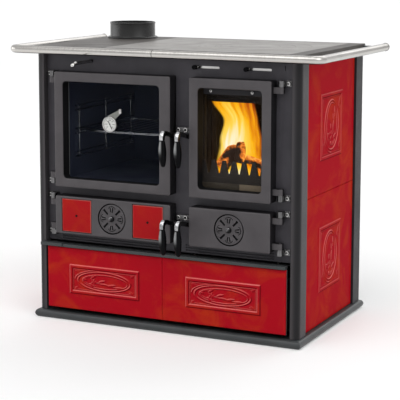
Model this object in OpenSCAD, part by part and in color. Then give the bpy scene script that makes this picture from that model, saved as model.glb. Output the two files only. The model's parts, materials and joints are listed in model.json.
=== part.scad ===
// Cast iron range cooker: oven on the left, firebox on the right, wood drawer below.
// Millimetres. X to the right, Y to the back, Z up. The origin is on the floor,
// under the middle of the plinth. The front of the cooker faces -Y.

/* [Cabinet] */
// Width over the corner posts
body_w = 869; // [840:1:940]
// Depth over the corner posts
body_d = 536; // [520:1:600]
// Height of the cooking surface above the floor
cooker_h = 850; // [845:1:870]
// How far the plinth stands out past the posts on each side
plinth_lip = 11; // [6:1:16]
// Thickness of the plinth
plinth_t = 25; // [20:1:32]
// Width of a corner post, seen from the front
post_w = 26.5; // [24:0.5:34]
// Depth of a corner post, seen from the side
post_d = 62; // [50:1:70]
// Radius of the outer edge of a front post
post_r = 18; // [8:1:22]
// Radius of the outer edge of a rear post
rear_post_r = 6; // [3:1:18]
// How far the front plate stands behind the posts
facade_setback = 22; // [18:1:28]
// Thickness of the cast front plate
facade_t = 8; // [7:1:12]
// Thickness of the steel panels
panel_t = 2; // [1.5:0.5:4]
// Wall of the hollow corner posts
post_wall = 5; // [4:0.5:7]
// Width of the solid rim and the rib under the plinth
plinth_rim = 12; // [8:1:40]

/* [Hob] */
// Thickness of the cast top frame
top_t = 18; // [16:1:22]
// How far the top frame stands out past the posts at the sides
top_lip = 5.5; // [3:0.5:9]
// Width of the frame to the left of the cooking plate, where the flue stands
flue_section = 235; // [222:1:260]
// Width of the frame in front of the cooking plate
rim_front = 12; // [10:1:30]
// Width of the frame behind the cooking plate
rim_rear = 20; // [16:1:60]
// Width of the frame to the right of the cooking plate
plate_margin = 48; // [36:1:60]
// Thickness of the cooking plate, the rings and the lid
plate_t = 10; // [8:1:12]
// Width of the ledge that carries a plate or a ring
ledge_w = 7; // [5:1:9]
// Gap round each lift-out piece of the hob
ring_gap = 0.5; // [0.3:0.1:1]
// Distance of the rings' centre from the right edge of the cooking plate
hob_from_side = 212; // [200:1:230]
// How far the rings' centre lies behind the middle of the cooking plate
hob_back = 3; // [0:1:10]
// Radius of the opening over the fire
hob_r = 172; // [150:1:185]
// Radius of the inner ring
ring_r = 122; // [105:1:132]
// Radius of the round lid in the middle
lid_r = 76; // [60:1:86]
// Radius of the lift holes in the rings and the lid
lift_hole_r = 4; // [3:0.5:5]

/* [Flue] */
// Inner radius of the flue collar, for a 140 mm pipe
flue_r = 70.5; // [60:0.5:72]
// Wall of the flue collar
flue_wall = 3.5; // [3:0.5:5]
// Height of the flue collar above the hob
flue_h = 53; // [40:1:80]
// Thickness of the flange under the collar
flange_t = 6; // [4:1:8]
// Width of the flange past the collar
flange_w = 8; // [6:1:12]
// Step under the collar that the pipe stops on
flue_stop = 5; // [3:1:8]
// Distance of the flue centre from the left edge of the top frame
flue_from_side = 102; // [90:1:105]
// Distance of the flue centre from the rear edge of the top frame
flue_from_rear = 88; // [86:1:120]

/* [Towel rail] */
// Outer radius of the rail tube
rail_r = 12; // [10:0.5:14]
// Wall of the rail tube
rail_wall = 2; // [1.5:0.5:3]
// Radius of the bend at the two front corners
rail_bend = 26; // [20:1:40]
// Gap between the rail and the front edge of the top frame
rail_front_gap = 22; // [12:1:30]
// Gap between the rail and the side edge of the top frame
rail_side_gap = 50; // [34:1:60]
// Length that the rail's free ends reach past the rear edge
rail_tail = 15; // [5:1:40]
// Height of the rail's centre below the cooking surface
rail_drop = 10; // [6:1:13]

/* [Upper doors] */
// Gap between the left post and the oven door
margin_left = 48; // [42:1:54]
// Gap between the fire door and the right post
margin_right = 55; // [50:1:60]
// Width of the iron column between the doors
column_w = 61; // [58:1:70]
// Width of the fire door
fire_door_w = 259; // [230:1:270]
// Distance of the upper doors' top edge below the cooking surface
door_head = 75; // [70:1:95]
// Height of the lower edge of the upper doors above the floor
upper_door_z = 422; // [418:1:436]
// Thickness of the doors
door_t = 42; // [38:1:46]
// Gap behind a closed door, filled by the rope seal
seal_t = 2; // [1.5:0.5:3]
// Width of the rope seal
seal_w = 9; // [6:1:12]
// How far a door covers the edge of its opening
door_overlap = 20; // [16:1:24]
// Width of the door frame on the hinge side
frame_hinge = 29; // [25:1:34]
// Width of the door frame on the handle side
frame_free = 36; // [28:1:40]
// Width of the fire door's frame on the handle side
fire_frame_free = 28; // [26:1:32]
// Width of the door frame at the top and the bottom
frame_bar = 28; // [24:1:32]
// Corner radius of the windows
window_r = 12; // [6:1:18]
// Thickness of the door glass
glass_t = 4; // [4:0.5:5]
// Width of the step that the glass lies on
glass_step = 7; // [5:1:9]

/* [Lower doors] */
// Height of the lower doors
lower_door_h = 117; // [110:1:122]
// Height of the lower edge of the lower doors above the floor
lower_door_z = 277; // [272:1:280]
// Width and height of the small tiles beside the rosette
small_tile = 103; // [94:1:104]
// Thickness of the small tiles
small_tile_t = 6; // [5:0.5:8]
// Radius of the draught rosette
rosette_r = 46; // [40:1:48]
// Thickness of the draught rosette
rosette_t = 6; // [5:0.5:8]

/* [Hinges and handles] */
// Distance of a hinge pin from the door's edge
hinge_out = 20; // [18:1:22]
// Distance of a hinge pin from the front plate
hinge_y_gap = 16; // [15:0.5:17]
// Radius of a hinge knuckle
knuckle_r = 10; // [8:0.5:11]
// Height of a hinge knuckle
knuckle_h = 18; // [14:1:22]
// Radius of the hinge pins
pin_r = 4; // [3:0.5:4.5]
// Running clearance round a pin or a rod
pin_gap = 0.06; // [0.03:0.01:0.09]
// Gap between two knuckles on one pin
knuckle_gap = 0.4; // [0.3:0.1:0.8]
// Thickness of a handle's arm
lever_t = 8; // [6:0.5:9]
// Gap between a handle's arm and the door's edge
lever_gap = 2; // [1:0.5:3]
// Length of a handle's black grip
grip_len = 79; // [65:1:85]

/* [Drawer] */
// Gap between the drawer's front and a corner post
drawer_side_gap = 10; // [6:0.5:16]
// Height of the drawer's front
drawer_h = 196; // [180:1:198]
// Gap between the plinth and the drawer's front
drawer_gap = 12; // [8:1:16]
// Thickness of the steel drawer box
drawer_wall = 1.5; // [1:0.5:3]
// Gap between the drawer box and the back panel
drawer_rear_gap = 34; // [20:1:90]
// Thickness of the large tiles
tile_t = 9; // [8:0.5:11]
// Height of the moulding on the large tiles
relief_t = 3; // [1.5:0.5:4]

/* [Draught controls] */
// Travel of the air sliders
slider_travel = 55; // [40:1:56]
// Travel of the flue damper's pull rod
damper_travel = 90; // [70:1:95]
// How far the pull rod stands out of the front plate
damper_out = 110; // [100:1:120]

/* [Firebox and oven] */
// Thickness of the firebox liners
liner_t = 9; // [7:1:16]
// Depth of the firebox, front plate to rear liner
firebox_d = 420; // [360:10:430]
// Thickness of the fire grate
grate_t = 14; // [12:1:18]
// Wall of the oven box
oven_wall = 2; // [1.5:0.5:4]
// Depth of the oven behind the front plate
oven_d = 436; // [380:2:450]
// Depth of the flue cleaning chamber behind the front plate
cleaning_d = 380; // [340:5:430]
// Radius of the wires in the oven
wire_r = 3; // [2.5:0.5:3.5]

/* [Hidden] */
$fn = 64;

// Cabinet
half_w = body_w / 2;
half_d = body_d / 2;
inner_x = half_w - post_w;
side_y = half_d - post_d;
top_z = cooker_h - top_t;
facade_y = -half_d + facade_setback;
facade_back = facade_y + facade_t;
back_y = half_d - 6;
side_inset = 9;
shelf_z = plinth_t + drawer_gap + drawer_h + 3;
facade_z = shelf_z + panel_t + 8;

// Hob
top_half_w = half_w + top_lip;
plate_x1 = top_half_w - plate_margin;
plate_x0 = -top_half_w + flue_section;
plate_y0 = -half_d + rim_front;
plate_y1 = half_d - rim_rear;
hob_x = plate_x1 - hob_from_side;
hob_y = (plate_y0 + plate_y1) / 2 + hob_back;
plate_z = cooker_h - plate_t;
step_z = cooker_h - plate_t / 2;
flue_x = -top_half_w + flue_from_side;
flue_y = half_d - flue_from_rear;

// Towel rail
rail_x = top_half_w + rail_side_gap + rail_r;
rail_y = -half_d - rail_front_gap - rail_r;
rail_z = cooker_h - rail_drop;
rail_end = half_d + rail_tail;
rail_cap = 7;

// Doors
door_back = facade_y - seal_t;
door_front = door_back - door_t;
oven_x0 = -inner_x + margin_left;
fire_x1 = inner_x - margin_right;
fire_x0 = fire_x1 - fire_door_w;
oven_x1 = fire_x0 - column_w;
upper_z1 = cooker_h - door_head;
lower_z1 = lower_door_z + lower_door_h;
rosette_z = (lower_door_z + lower_z1) / 2;
oven_mid = (oven_x0 + oven_x1) / 2;
fire_mid = (fire_x0 + fire_x1) / 2;
glass_y = door_back - 6;
oven_win = [oven_x0 + frame_hinge, oven_x1 - frame_free];
fire_win = [fire_x0 + fire_frame_free, fire_x1 - frame_hinge];
win_z0 = upper_door_z + frame_bar - 1;
win_z1 = upper_z1 - frame_bar - 1;
rosette_gap = 1.5;
tile_off = ((oven_x1 - oven_x0) / 2 + rosette_r + rosette_gap) / 2;

// Oven thermometer
thermo_x = oven_mid - 18;
thermo_z = (win_z0 + win_z1) / 2 + 22.5;
thermo_r = 24;
thermo_y = glass_y - 14;
stem_r = 4;

// Hinges: a left pin for the oven side, a right pin for the fire side
pin_y = facade_y - hinge_y_gap;
left_pin = oven_x0 - hinge_out;
right_pin = fire_x1 + hinge_out;
pin_len = knuckle_h - 4;
upper_ear = upper_z1 - knuckle_h;
lower_ear = upper_door_z + 5;
small_ear = 9;
small_ear_up = 4;
// Heights of the two knuckles of a door, next to the bracket ears
upper_knuckles = [upper_ear - knuckle_h - knuckle_gap, lower_ear + knuckle_h + knuckle_gap];
lower_knuckles = [lower_z1 + small_ear_up - 2 * knuckle_h - knuckle_gap,
                  lower_door_z - small_ear + knuckle_h + knuckle_gap];

// Handles
pivot_y = door_front + 14;
upper_pivot = (upper_door_z + upper_z1) / 2 + 1.5;
lower_pivot = rosette_z + 2.5;
lever_drop = 5;
grip_y = -75;

// Air sliders and flue damper
slider_z = upper_z1 + 27;
slot_h = 8;
slot_l = slider_travel + 31;
slider_left_x = fire_x0 - 8;
slider_right_x = slider_left_x + slot_l + 78;
damper_x = oven_x0 + 106;
damper_z = slider_z + 5;
damper_len = 60;
rod_r = 5;

// Firebox and oven
fire_in0 = fire_x0 + door_overlap;
fire_in1 = fire_x1 - door_overlap;
chamber_x0 = fire_in0 - 28;
chamber_x1 = fire_in1 + 28;
fire_back = facade_back + firebox_d;
grate_z = upper_door_z + 4;
grate_top = grate_z + grate_t;
liner_top = upper_z1 + 10;
oven_in0 = oven_x0 + door_overlap;
oven_in1 = oven_x1 - door_overlap;
oven_in_z0 = upper_door_z + door_overlap;
oven_in_z1 = upper_z1 - door_overlap;
low_in_z0 = lower_door_z + 15;
low_in_z1 = lower_z1 - 15;
rib_t = 4;
rack_pitch = (oven_in_z1 - oven_in_z0) * 0.23;
rack_levels = [for (i = [0 : 2]) oven_in_z0 + 64 + i * rack_pitch];
rack_pair = 14;
rack_y0 = facade_back + 60;
rack_y1 = facade_back + oven_d - 38;

// Drawer
drawer_z0 = plinth_t + drawer_gap;
drawer_z1 = drawer_z0 + drawer_h;
drawer_front = -half_d - tile_t - relief_t;
drawer_half = inner_x - drawer_side_gap;
drawer_plate = 4;
box_half = inner_x - 16;
box_top = drawer_z0 + 162;
box_y0 = -half_d + drawer_plate;

// ---- Shared shapes ----

// Box between two corners
module block(x0, x1, y0, y1, z0, z1) {
    translate([x0, y0, z0]) cube([x1 - x0, y1 - y0, z1 - z0]);
}

// Flat outline drawn in X and Z, standing from y0 to y1
module wall_xz(y0, y1) {
    translate([0, y1, 0]) rotate([90, 0, 0]) linear_extrude(y1 - y0) children();
}

// Flat outline drawn in Y and Z, standing from x0 to x1
module wall_yz(x0, x1) {
    translate([x0, 0, 0]) rotate([90, 0, 90]) linear_extrude(x1 - x0) children();
}

// Rectangle between two corners with round corners of radius r
module round_rect(x0, x1, y0, y1, r) {
    translate([x0 + r, y0]) square([x1 - x0 - 2 * r, y1 - y0]);
    translate([x0, y0 + r]) square([x1 - x0, y1 - y0 - 2 * r]);
    for (x = [x0 + r, x1 - r], y = [y0 + r, y1 - r]) translate([x, y]) circle(r);
}

// Ellipse with half axes a and b
module ellipse(a, b) {
    polygon([for (i = [0 : 47]) [a * cos(i * 7.5), b * sin(i * 7.5)]]);
}

// Leaf of length l and width w, pointing along +X from the origin
module leaf(l, w) {
    r = (l * l / 4 + w * w / 4) / w;
    intersection() {
        translate([l / 2, w / 2 - r]) circle(r);
        translate([l / 2, r - w / 2]) circle(r);
    }
}

// Round rod along X
module rod_x(x0, x1, y, z, r) {
    translate([x0, y, z]) rotate([0, 90, 0]) cylinder(h = x1 - x0, r = r);
}

// Round rod along Y
module rod_y(x, y0, y1, z, r) {
    translate([x, y0, z]) rotate([-90, 0, 0]) cylinder(h = y1 - y0, r = r);
}

// Flat rectangular frame
module moulding_frames(w, h, bar) {
    difference() {
        square([w, h], center = true);
        square([w - 2 * bar, h - 2 * bar], center = true);
    }
}

// Oval ring round a sprig of six leaves. w runs along the oval's long side.
module moulding_oval(w, h, bar) {
    bud = h * 0.09;
    difference() {
        ellipse(w / 2, h / 2);
        ellipse(w / 2 - bar, h / 2 - bar);
    }
    circle(bud);
    for (turn = [0, 180]) rotate(turn) {
        translate([bud * 0.7, 0]) leaf(w * 0.34, w * 0.07);
        for (side = [-1, 1]) rotate(side * 48) translate([bud * 0.7, 0]) leaf(h * 0.34, h * 0.1);
    }
}

// Moulding of a large tile: two nested frames and the oval, each at its own height
module moulding(w, h) {
    linear_extrude(relief_t) moulding_frames(w, h, w * 0.035);
    linear_extrude(relief_t * 0.6) moulding_frames(w * 0.89, h * 0.76, w * 0.02);
    linear_extrude(relief_t * 0.8) moulding_oval(w * 0.8, h * 0.64, w * 0.025);
}

// ---- Cabinet ----

// Section of the plinth with its two full round edges, half_l from the middle to each edge
module plinth_section(half_l) {
    r = plinth_t / 2;
    translate([-half_l + r, 0]) square([2 * half_l - 2 * r, plinth_t]);
    for (t = [-1, 1]) translate([t * (half_l - r), r]) circle(r);
}

module plinth() {
    x = half_w + plinth_lip;
    y = half_d + plinth_lip + 1;
    inner = plinth_rim + plinth_t / 2;
    color("#3b4142") difference() {
        intersection() {
            wall_yz(-x, x) plinth_section(y);
            wall_xz(-y, y) plinth_section(x);
        }
        for (s = [-1, 1]) mirror([s < 0 ? 1 : 0, 0, 0])
            block(plinth_rim / 2, x - inner, -y + inner, y - inner, -1, plinth_t - panel_t);
    }
}

// Hollow section of a post, with its outer edge round
module post_outline(r) {
    difference() {
        intersection() {
            square([post_w, post_d]);
            union() {
                square([post_w - r, post_d]);
                square([post_w, post_d - r]);
                translate([post_w - r, post_d - r]) circle(r);
            }
        }
        translate([post_wall, post_wall])
            square([post_w - 2 * post_wall, post_d - max(r, post_wall) - post_wall]);
    }
}

module post(side, end) {
    color("#4a484b")
        translate([side * inner_x, end * side_y, plinth_t])
            mirror([side < 0 ? 1 : 0, 0, 0]) mirror([0, end < 0 ? 1 : 0, 0])
                linear_extrude(top_z - plinth_t) post_outline(end < 0 ? post_r : rear_post_r);
}

module post_front_left() { post(-1, -1); }
module post_front_right() { post(1, -1); }
module post_rear_left() { post(-1, 1); }
module post_rear_right() { post(1, 1); }

// Steel sheet that carries the side tiles
module side_panel(side) {
    x0 = inner_x + side_inset;
    color("#3a393c") mirror([side < 0 ? 1 : 0, 0, 0])
        block(x0, x0 + panel_t, -side_y, side_y, plinth_t, top_z);
}

module side_panel_left() { side_panel(-1); }
module side_panel_right() { side_panel(1); }

// Two glazed tiles one above the other, each with its moulding
module side_tiles(side) {
    x0 = inner_x + side_inset + panel_t;
    gap = 2;
    tile_h = (top_z - plinth_t - 3 * gap - 8) / 2;
    color("#b0121f") mirror([side < 0 ? 1 : 0, 0, 0])
        for (i = [0, 1]) {
            z0 = plinth_t + gap + i * (tile_h + gap);
            block(x0, x0 + tile_t, -side_y + gap, side_y - gap, z0, z0 + tile_h);
            translate([x0 + tile_t, 0, z0 + tile_h / 2])
                rotate([90, 0, 90]) rotate(90) moulding(tile_h * 0.5, side_y * 0.9);
        }
}

module side_tiles_left() { side_tiles(-1); }
module side_tiles_right() { side_tiles(1); }

module back_panel() {
    color("#3a393c") block(-inner_x, inner_x, back_y - panel_t, back_y, plinth_t, top_z);
}

// Shallow grooves under the lower doors
module louvres(x0, x1) {
    for (i = [0 : 2]) block(x0, x1, facade_y - 1, facade_y + 4, facade_z + 6 + i * 8, facade_z + 10 + i * 8);
}

// Slot that a slider's stud moves in
module air_slot(x) {
    wall_xz(facade_y - 1, facade_back + 1)
        round_rect(x, x + slot_l, slider_z - slot_h / 2, slider_z + slot_h / 2, slot_h / 2 - 0.01);
}

module facade() {
    color("#48454a") difference() {
        block(-inner_x, inner_x, facade_y, facade_back, facade_z, top_z);
        block(oven_in0, oven_in1, facade_y - 1, facade_back + 1, oven_in_z0, oven_in_z1);
        block(fire_in0, fire_in1, facade_y - 1, facade_back + 1, oven_in_z0, oven_in_z1);
        block(oven_in0, oven_in1, facade_y - 1, facade_back + 1, low_in_z0, low_in_z1);
        block(fire_in0, fire_in1, facade_y - 1, facade_back + 1, low_in_z0, low_in_z1);
        louvres(oven_x0, oven_x1 - 40);
        louvres(fire_x0 - 30, fire_x1 - 4);
        air_slot(slider_left_x);
        air_slot(slider_right_x);
        rod_y(damper_x, facade_y - 1, facade_back + 1, damper_z, rod_r + pin_gap);
        block(right_pin + 4, right_pin + 7, facade_y - 1, facade_y + 4, slider_z, slider_z + 14);
    }
}

// ---- Hob ----

module top_frame() {
    color("#5a5856") difference() {
        block(-top_half_w, top_half_w, -half_d, half_d, top_z, cooker_h);
        block(plate_x0, plate_x1, plate_y0, plate_y1, plate_z, cooker_h + 1);
        block(plate_x0 + ledge_w, plate_x1 - ledge_w, plate_y0 + ledge_w, plate_y1 - ledge_w,
              top_z - 1, cooker_h);
        translate([flue_x, flue_y, top_z - 1]) cylinder(h = top_t + 2, r = flue_r - flue_stop);
    }
}

// Hole for a ring: wide above, with a ledge below
module ring_seat(r) {
    translate([hob_x, hob_y, step_z]) cylinder(h = plate_t, r = r + ring_gap);
    translate([hob_x, hob_y, plate_z - 1]) cylinder(h = plate_t, r = r - ledge_w + ring_gap);
}

// Disc that lies in such a seat
module ring_disc(r) {
    translate([hob_x, hob_y, step_z]) cylinder(h = plate_t / 2, r = r);
    translate([hob_x, hob_y, plate_z]) cylinder(h = plate_t / 2, r = r - ledge_w);
}

// Lift hole at distance r from the middle, towards the front left
module lift_hole(r) {
    translate([hob_x - r * cos(22), hob_y - r * sin(22), step_z - 1])
        cylinder(h = plate_t, r = lift_hole_r);
}

module cooking_plate() {
    color("#a5a098") difference() {
        block(plate_x0 + ring_gap, plate_x1 - ring_gap, plate_y0 + ring_gap, plate_y1 - ring_gap,
              plate_z, cooker_h);
        ring_seat(hob_r);
    }
}

module ring_outer() {
    color("#a5a098") difference() {
        ring_disc(hob_r);
        ring_seat(ring_r);
        lift_hole((hob_r + ring_r) / 2 + 5);
    }
}

module ring_inner() {
    color("#a5a098") difference() {
        ring_disc(ring_r);
        ring_seat(lid_r);
        lift_hole((ring_r + lid_r) / 2 + 5);
    }
}

module hob_lid() {
    color("#a5a098") difference() {
        ring_disc(lid_r);
        lift_hole(lid_r * 0.6);
    }
}

module flue_collar() {
    outer = flue_r + flue_wall;
    color("#3f3f3d") translate([flue_x, flue_y, cooker_h]) difference() {
        union() {
            cylinder(h = flange_t, r = outer + flange_w);
            cylinder(h = flue_h, r = outer);
        }
        translate([0, 0, -1]) cylinder(h = flue_h + 2, r = flue_r);
    }
}

// ---- Towel rail ----

module rail_tube_y(x) {
    difference() {
        rod_y(x, rail_y + rail_bend, rail_end - rail_cap, rail_z, rail_r);
        rod_y(x, rail_y + rail_bend - 1, rail_end - rail_cap + 1, rail_z, rail_r - rail_wall);
    }
    rod_y(x, rail_end - rail_cap, rail_end, rail_z, rail_r + 1);
}

module rail_corner(side) {
    translate([side * (rail_x - rail_bend), rail_y + rail_bend, rail_z])
        mirror([side < 0 ? 1 : 0, 0, 0]) rotate([0, 0, -90])
            rotate_extrude(angle = 90) translate([rail_bend, 0]) difference() {
                circle(rail_r);
                circle(rail_r - rail_wall);
            }
}

module rail_front() {
    x = rail_x - rail_bend;
    color("silver") {
        difference() {
            rod_x(-x, x, rail_y, rail_z, rail_r);
            rod_x(-x - 1, x + 1, rail_y, rail_z, rail_r - rail_wall);
        }
        rail_corner(1);
        rail_corner(-1);
    }
}

module rail_left() { color("silver") rail_tube_y(-rail_x); }
module rail_right() { color("silver") rail_tube_y(rail_x); }

// Arms between the top frame and the rail, hollowed to the tube
module rail_brackets() {
    saddle = rail_r + 0.05;
    color("#3b4142") {
        for (x = [-0.373, 0.373]) difference() {
            block(x * body_w - 12, x * body_w + 12, rail_y + 4, -half_d, rail_z - 5, rail_z + 5);
            rod_x(x * body_w - 13, x * body_w + 13, rail_y, rail_z, saddle);
        }
        for (s = [-1, 1], y = [-side_y, half_d - 14]) mirror([s < 0 ? 1 : 0, 0, 0]) difference() {
            block(top_half_w, rail_x - 6, y - 9, y + 9, rail_z - 6, rail_z + 4);
            rod_y(rail_x, y - 10, y + 10, rail_z, saddle);
        }
    }
}

// ---- Oven ----

module oven_box() {
    color("#6c6a6c") difference() {
        block(oven_in0 - oven_wall, oven_in1 + oven_wall, facade_back, facade_back + oven_d,
              oven_in_z0 - oven_wall, oven_in_z1 + oven_wall);
        block(oven_in0, oven_in1, facade_back - 1, facade_back + oven_d - oven_wall,
              oven_in_z0, oven_in_z1);
    }
}

// Wire ladder on one oven wall: uprights against the wall, runners inside them
module oven_rack(side) {
    x = side < 0 ? oven_in0 : oven_in1;
    for (y = [rack_y0, (rack_y0 + rack_y1) / 2, rack_y1])
        translate([x - side * wire_r, y, rack_levels[0] - 6]) cylinder(h = 2 * rack_pitch + rack_pair + 12, r = wire_r);
    for (z = rack_levels, dz = [0, rack_pair])
        rod_y(x - side * 2.6 * wire_r, rack_y0 - 29, rack_y1 + 10, z + dz, wire_r);
}

module oven_side_racks() {
    color("silver") {
        oven_rack(-1);
        oven_rack(1);
    }
}

// Shelf with a square rim and round wires, lying against the second runners
module oven_shelf() {
    rim = 2 * wire_r;
    x0 = oven_in0 + 2.6 * wire_r;
    x1 = oven_in1 - 2.6 * wire_r;
    z0 = rack_levels[1] + wire_r;
    bars = 11;
    color("silver") {
        difference() {
            block(x0, x1, rack_y0, rack_y1, z0, z0 + rim);
            block(x0 + rim, x1 - rim, rack_y0 + rim, rack_y1 - rim, z0 - 1, z0 + rim + 1);
        }
        for (i = [1 : bars])
            rod_y(x0 + i * (x1 - x0) / (bars + 1), rack_y0 + wire_r, rack_y1 - wire_r, z0 + wire_r, wire_r - 1);
    }
}

module cleaning_chamber() {
    color("#4a484b") difference() {
        block(oven_in0 - oven_wall, oven_in1 + oven_wall, facade_back, facade_back + cleaning_d,
              low_in_z0 - oven_wall, low_in_z1 + oven_wall);
        block(oven_in0, oven_in1, facade_back - 1, facade_back + cleaning_d - oven_wall, low_in_z0, low_in_z1);
    }
}

// ---- Firebox ----

// Vertical ribs on the inner face of a liner
module firebox_liners() {
    pitch = 26;
    color("#35312f") {
        for (s = [0, 1]) {
            x = s == 0 ? chamber_x0 : chamber_x1 - liner_t;
            block(x, x + liner_t, facade_back, fire_back, grate_top, liner_top);
            rib_x = s == 0 ? x + liner_t : x - rib_t;
            for (y = [facade_back + 22 : pitch : fire_back - liner_t - 20])
                block(rib_x, rib_x + rib_t, y, y + 12, grate_top, liner_top);
        }
        block(chamber_x0 + liner_t, chamber_x1 - liner_t, fire_back - liner_t, fire_back,
              grate_top, liner_top);
    }
}

module fire_grate() {
    slots = 9;
    pitch = (fire_in1 - fire_in0) / slots;
    color("#35312f") difference() {
        block(chamber_x0, chamber_x1, facade_back, fire_back, grate_z, grate_top);
        for (i = [0 : slots - 1])
            block(fire_in0 + (i + 0.25) * pitch, fire_in0 + (i + 0.75) * pitch,
                  facade_back + 40, fire_back - 60, grate_z - 1, grate_top + 1);
    }
}

// Comb that keeps the logs off the door
module log_guard() {
    x0 = chamber_x0 + liner_t + rib_t + 0.5;
    x1 = chamber_x1 - liner_t - rib_t - 0.5;
    pitch = 32;
    tooth = 38;
    z1 = grate_top + 89;
    mid = fire_mid + 6;
    color("#2e2b2a") wall_xz(facade_back + 4, facade_back + 12) difference() {
        translate([x0, grate_top]) square([x1 - x0, z1 - grate_top]);
        for (i = [-3 : 3]) translate([mid + i * pitch, z1])
            polygon([[-11, 1], [11, 1], [2.5, -tooth], [-2.5, -tooth]]);
    }
}

// Cast box under the grate, open at the front, with a floor for the ash pan
module ash_chamber() {
    wall = 6;
    color("#35312f") {
        for (x = [chamber_x0, chamber_x1 - wall])
            block(x, x + wall, facade_back, fire_back, shelf_z + panel_t, grate_z);
        block(chamber_x0 + wall, chamber_x1 - wall, fire_back - wall, fire_back,
              shelf_z + panel_t, grate_z);
        block(chamber_x0 + wall, chamber_x1 - wall, facade_back, fire_back - wall,
              low_in_z0 - 6, low_in_z0 - 2);
    }
}

module ash_pan() {
    x0 = fire_in0 + 5;
    x1 = fire_in1 - 5;
    y0 = facade_back + 6;
    y1 = fire_back - 40;
    z0 = low_in_z0 - 2;
    z1 = low_in_z1 - 12;
    color("#59595b") difference() {
        block(x0, x1, y0, y1, z0, z1);
        block(x0 + 2, x1 - 2, y0 + 2, y1 - 2, z0 + 2, z1 + 1);
    }
}

module middle_shelf() {
    color("#3a393c") block(-inner_x, inner_x, facade_back, back_y - panel_t, shelf_z, shelf_z + panel_t);
}

// ---- Fittings on the front plate ----

// Frame of rope seal round one opening
module seal(x0, x1, z0, z1) {
    wall_xz(door_back, facade_y) difference() {
        translate([x0 - seal_w, z0 - seal_w]) square([x1 - x0 + 2 * seal_w, z1 - z0 + 2 * seal_w]);
        translate([x0, z0]) square([x1 - x0, z1 - z0]);
    }
}

module door_seals() {
    color("#8d8a84") {
        seal(oven_in0, oven_in1, oven_in_z0, oven_in_z1);
        seal(fire_in0, fire_in1, oven_in_z0, oven_in_z1);
        seal(oven_in0, oven_in1, low_in_z0, low_in_z1);
        seal(fire_in0, fire_in1, low_in_z0, low_in_z1);
    }
}

// Strikers on the column above the two handle hooks, each held by two socket bolts
module latch_keepers() {
    keeper_t = 14;
    color("#8a8888") for (z = [upper_pivot, lower_pivot]) {
        block(oven_x1 + 5, fire_x0 - 5, facade_y - keeper_t, facade_y, z + 10, z + 24);
        for (x = [oven_x1 + 15, oven_x1 + 38]) difference() {
            rod_y(x, facade_y - keeper_t - 4, facade_y - keeper_t, z + 17, 6.5);
            rod_y(x, facade_y - keeper_t - 5, facade_y - keeper_t - 1, z + 17, 3.2);
        }
    }
}

// Bracket with a bolt, an ear and a pin. side is -1 on the oven side, 1 on the fire side.
// up is 1 where the pin points up into the door's knuckle, -1 where it points down.
module hinge_bracket(pin_x, side, z, up) {
    plate = 3;
    translate([pin_x, pin_y, z]) {
        cylinder(h = knuckle_h, r = knuckle_r);
        block(-knuckle_r, knuckle_r, 0, hinge_y_gap, 0, knuckle_h);
        block(side < 0 ? -26 : -knuckle_r, side < 0 ? knuckle_r : 26,
              hinge_y_gap - plate, hinge_y_gap, 0, knuckle_h);
        rod_y(side * 18, hinge_y_gap - plate - 4, hinge_y_gap - plate, knuckle_h / 2, 5);
        translate([0, 0, up > 0 ? knuckle_h : -pin_len]) cylinder(h = pin_len, r = pin_r);
    }
}

module hinge_brackets() {
    color("#9a9898") for (side = [-1, 1]) {
        x = side < 0 ? left_pin : right_pin;
        hinge_bracket(x, side, upper_ear, -1);
        hinge_bracket(x, side, lower_ear, 1);
        hinge_bracket(x, side, lower_z1 + small_ear_up - knuckle_h, -1);
        hinge_bracket(x, side, lower_door_z - small_ear, 1);
    }
}

// Knuckle of a door on its pin, reaching back to the door's edge
module door_knuckle(pin_x, side, z) {
    translate([pin_x, pin_y, z]) {
        cylinder(h = knuckle_h, r = knuckle_r);
        block(side < 0 ? 0 : -hinge_out - 1, side < 0 ? hinge_out + 1 : 0,
              -knuckle_r, knuckle_r, 0, knuckle_h);
    }
}

module knuckle_bore(pin_x, z) {
    translate([pin_x, pin_y, z - 1]) cylinder(h = knuckle_h + 2, r = pin_r + pin_gap);
}

// ---- Doors ----

// Pin that a handle turns on, on the free edge of a door. side points away from the door.
module handle_pin(edge_x, side, z) {
    len = lever_gap + lever_t + 0.4;
    root = 5;
    translate([edge_x, 0, 0]) mirror([side < 0 ? 1 : 0, 0, 0]) {
        rod_x(-root, len + 1, pivot_y, z, pin_r);
        rod_x(len, len + 3, pivot_y, z, pin_r + 2.5);
        rod_x(-root, lever_gap - 0.4, pivot_y, z, pin_r + 4);
    }
}

// Door blank with its knuckles, between x0 and x1
module door_blank(x0, x1, z0, z1, pin_x, side, knuckles) {
    difference() {
        union() {
            wall_xz(door_front, door_back) round_rect(x0, x1, z0, z1, 5);
            for (z = knuckles) door_knuckle(pin_x, side, z);
        }
        for (z = knuckles) knuckle_bore(pin_x, z);
    }
}

// Window through a door, with a step behind it for the glass
module window_cut(x0, x1, z0, z1) {
    wall_xz(door_front - 1, door_back + 1) round_rect(x0, x1, z0, z1, window_r);
    block(x0 - glass_step, x1 + glass_step, glass_y, door_back + 1, z0 - glass_step, z1 + glass_step);
}

// Glass for a window
module window_glass(x0, x1, z0, z1) {
    fit = glass_step - 0.5;
    block(x0 - fit, x1 + fit, glass_y, glass_y + glass_t, z0 - fit, z1 + fit);
}

module oven_door_frame() {
    color("#58555a") {
        difference() {
            door_blank(oven_x0, oven_x1, upper_door_z, upper_z1, left_pin, -1, upper_knuckles);
            window_cut(oven_win[0], oven_win[1], win_z0, win_z1);
        }
        handle_pin(oven_x1, 1, upper_pivot);
    }
}

module oven_door_glass() {
    color("#10141f", 0.6) difference() {
        window_glass(oven_win[0], oven_win[1], win_z0, win_z1);
        rod_y(thermo_x, glass_y - 1, glass_y + glass_t + 1, thermo_z, stem_r + 0.2);
    }
}

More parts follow.
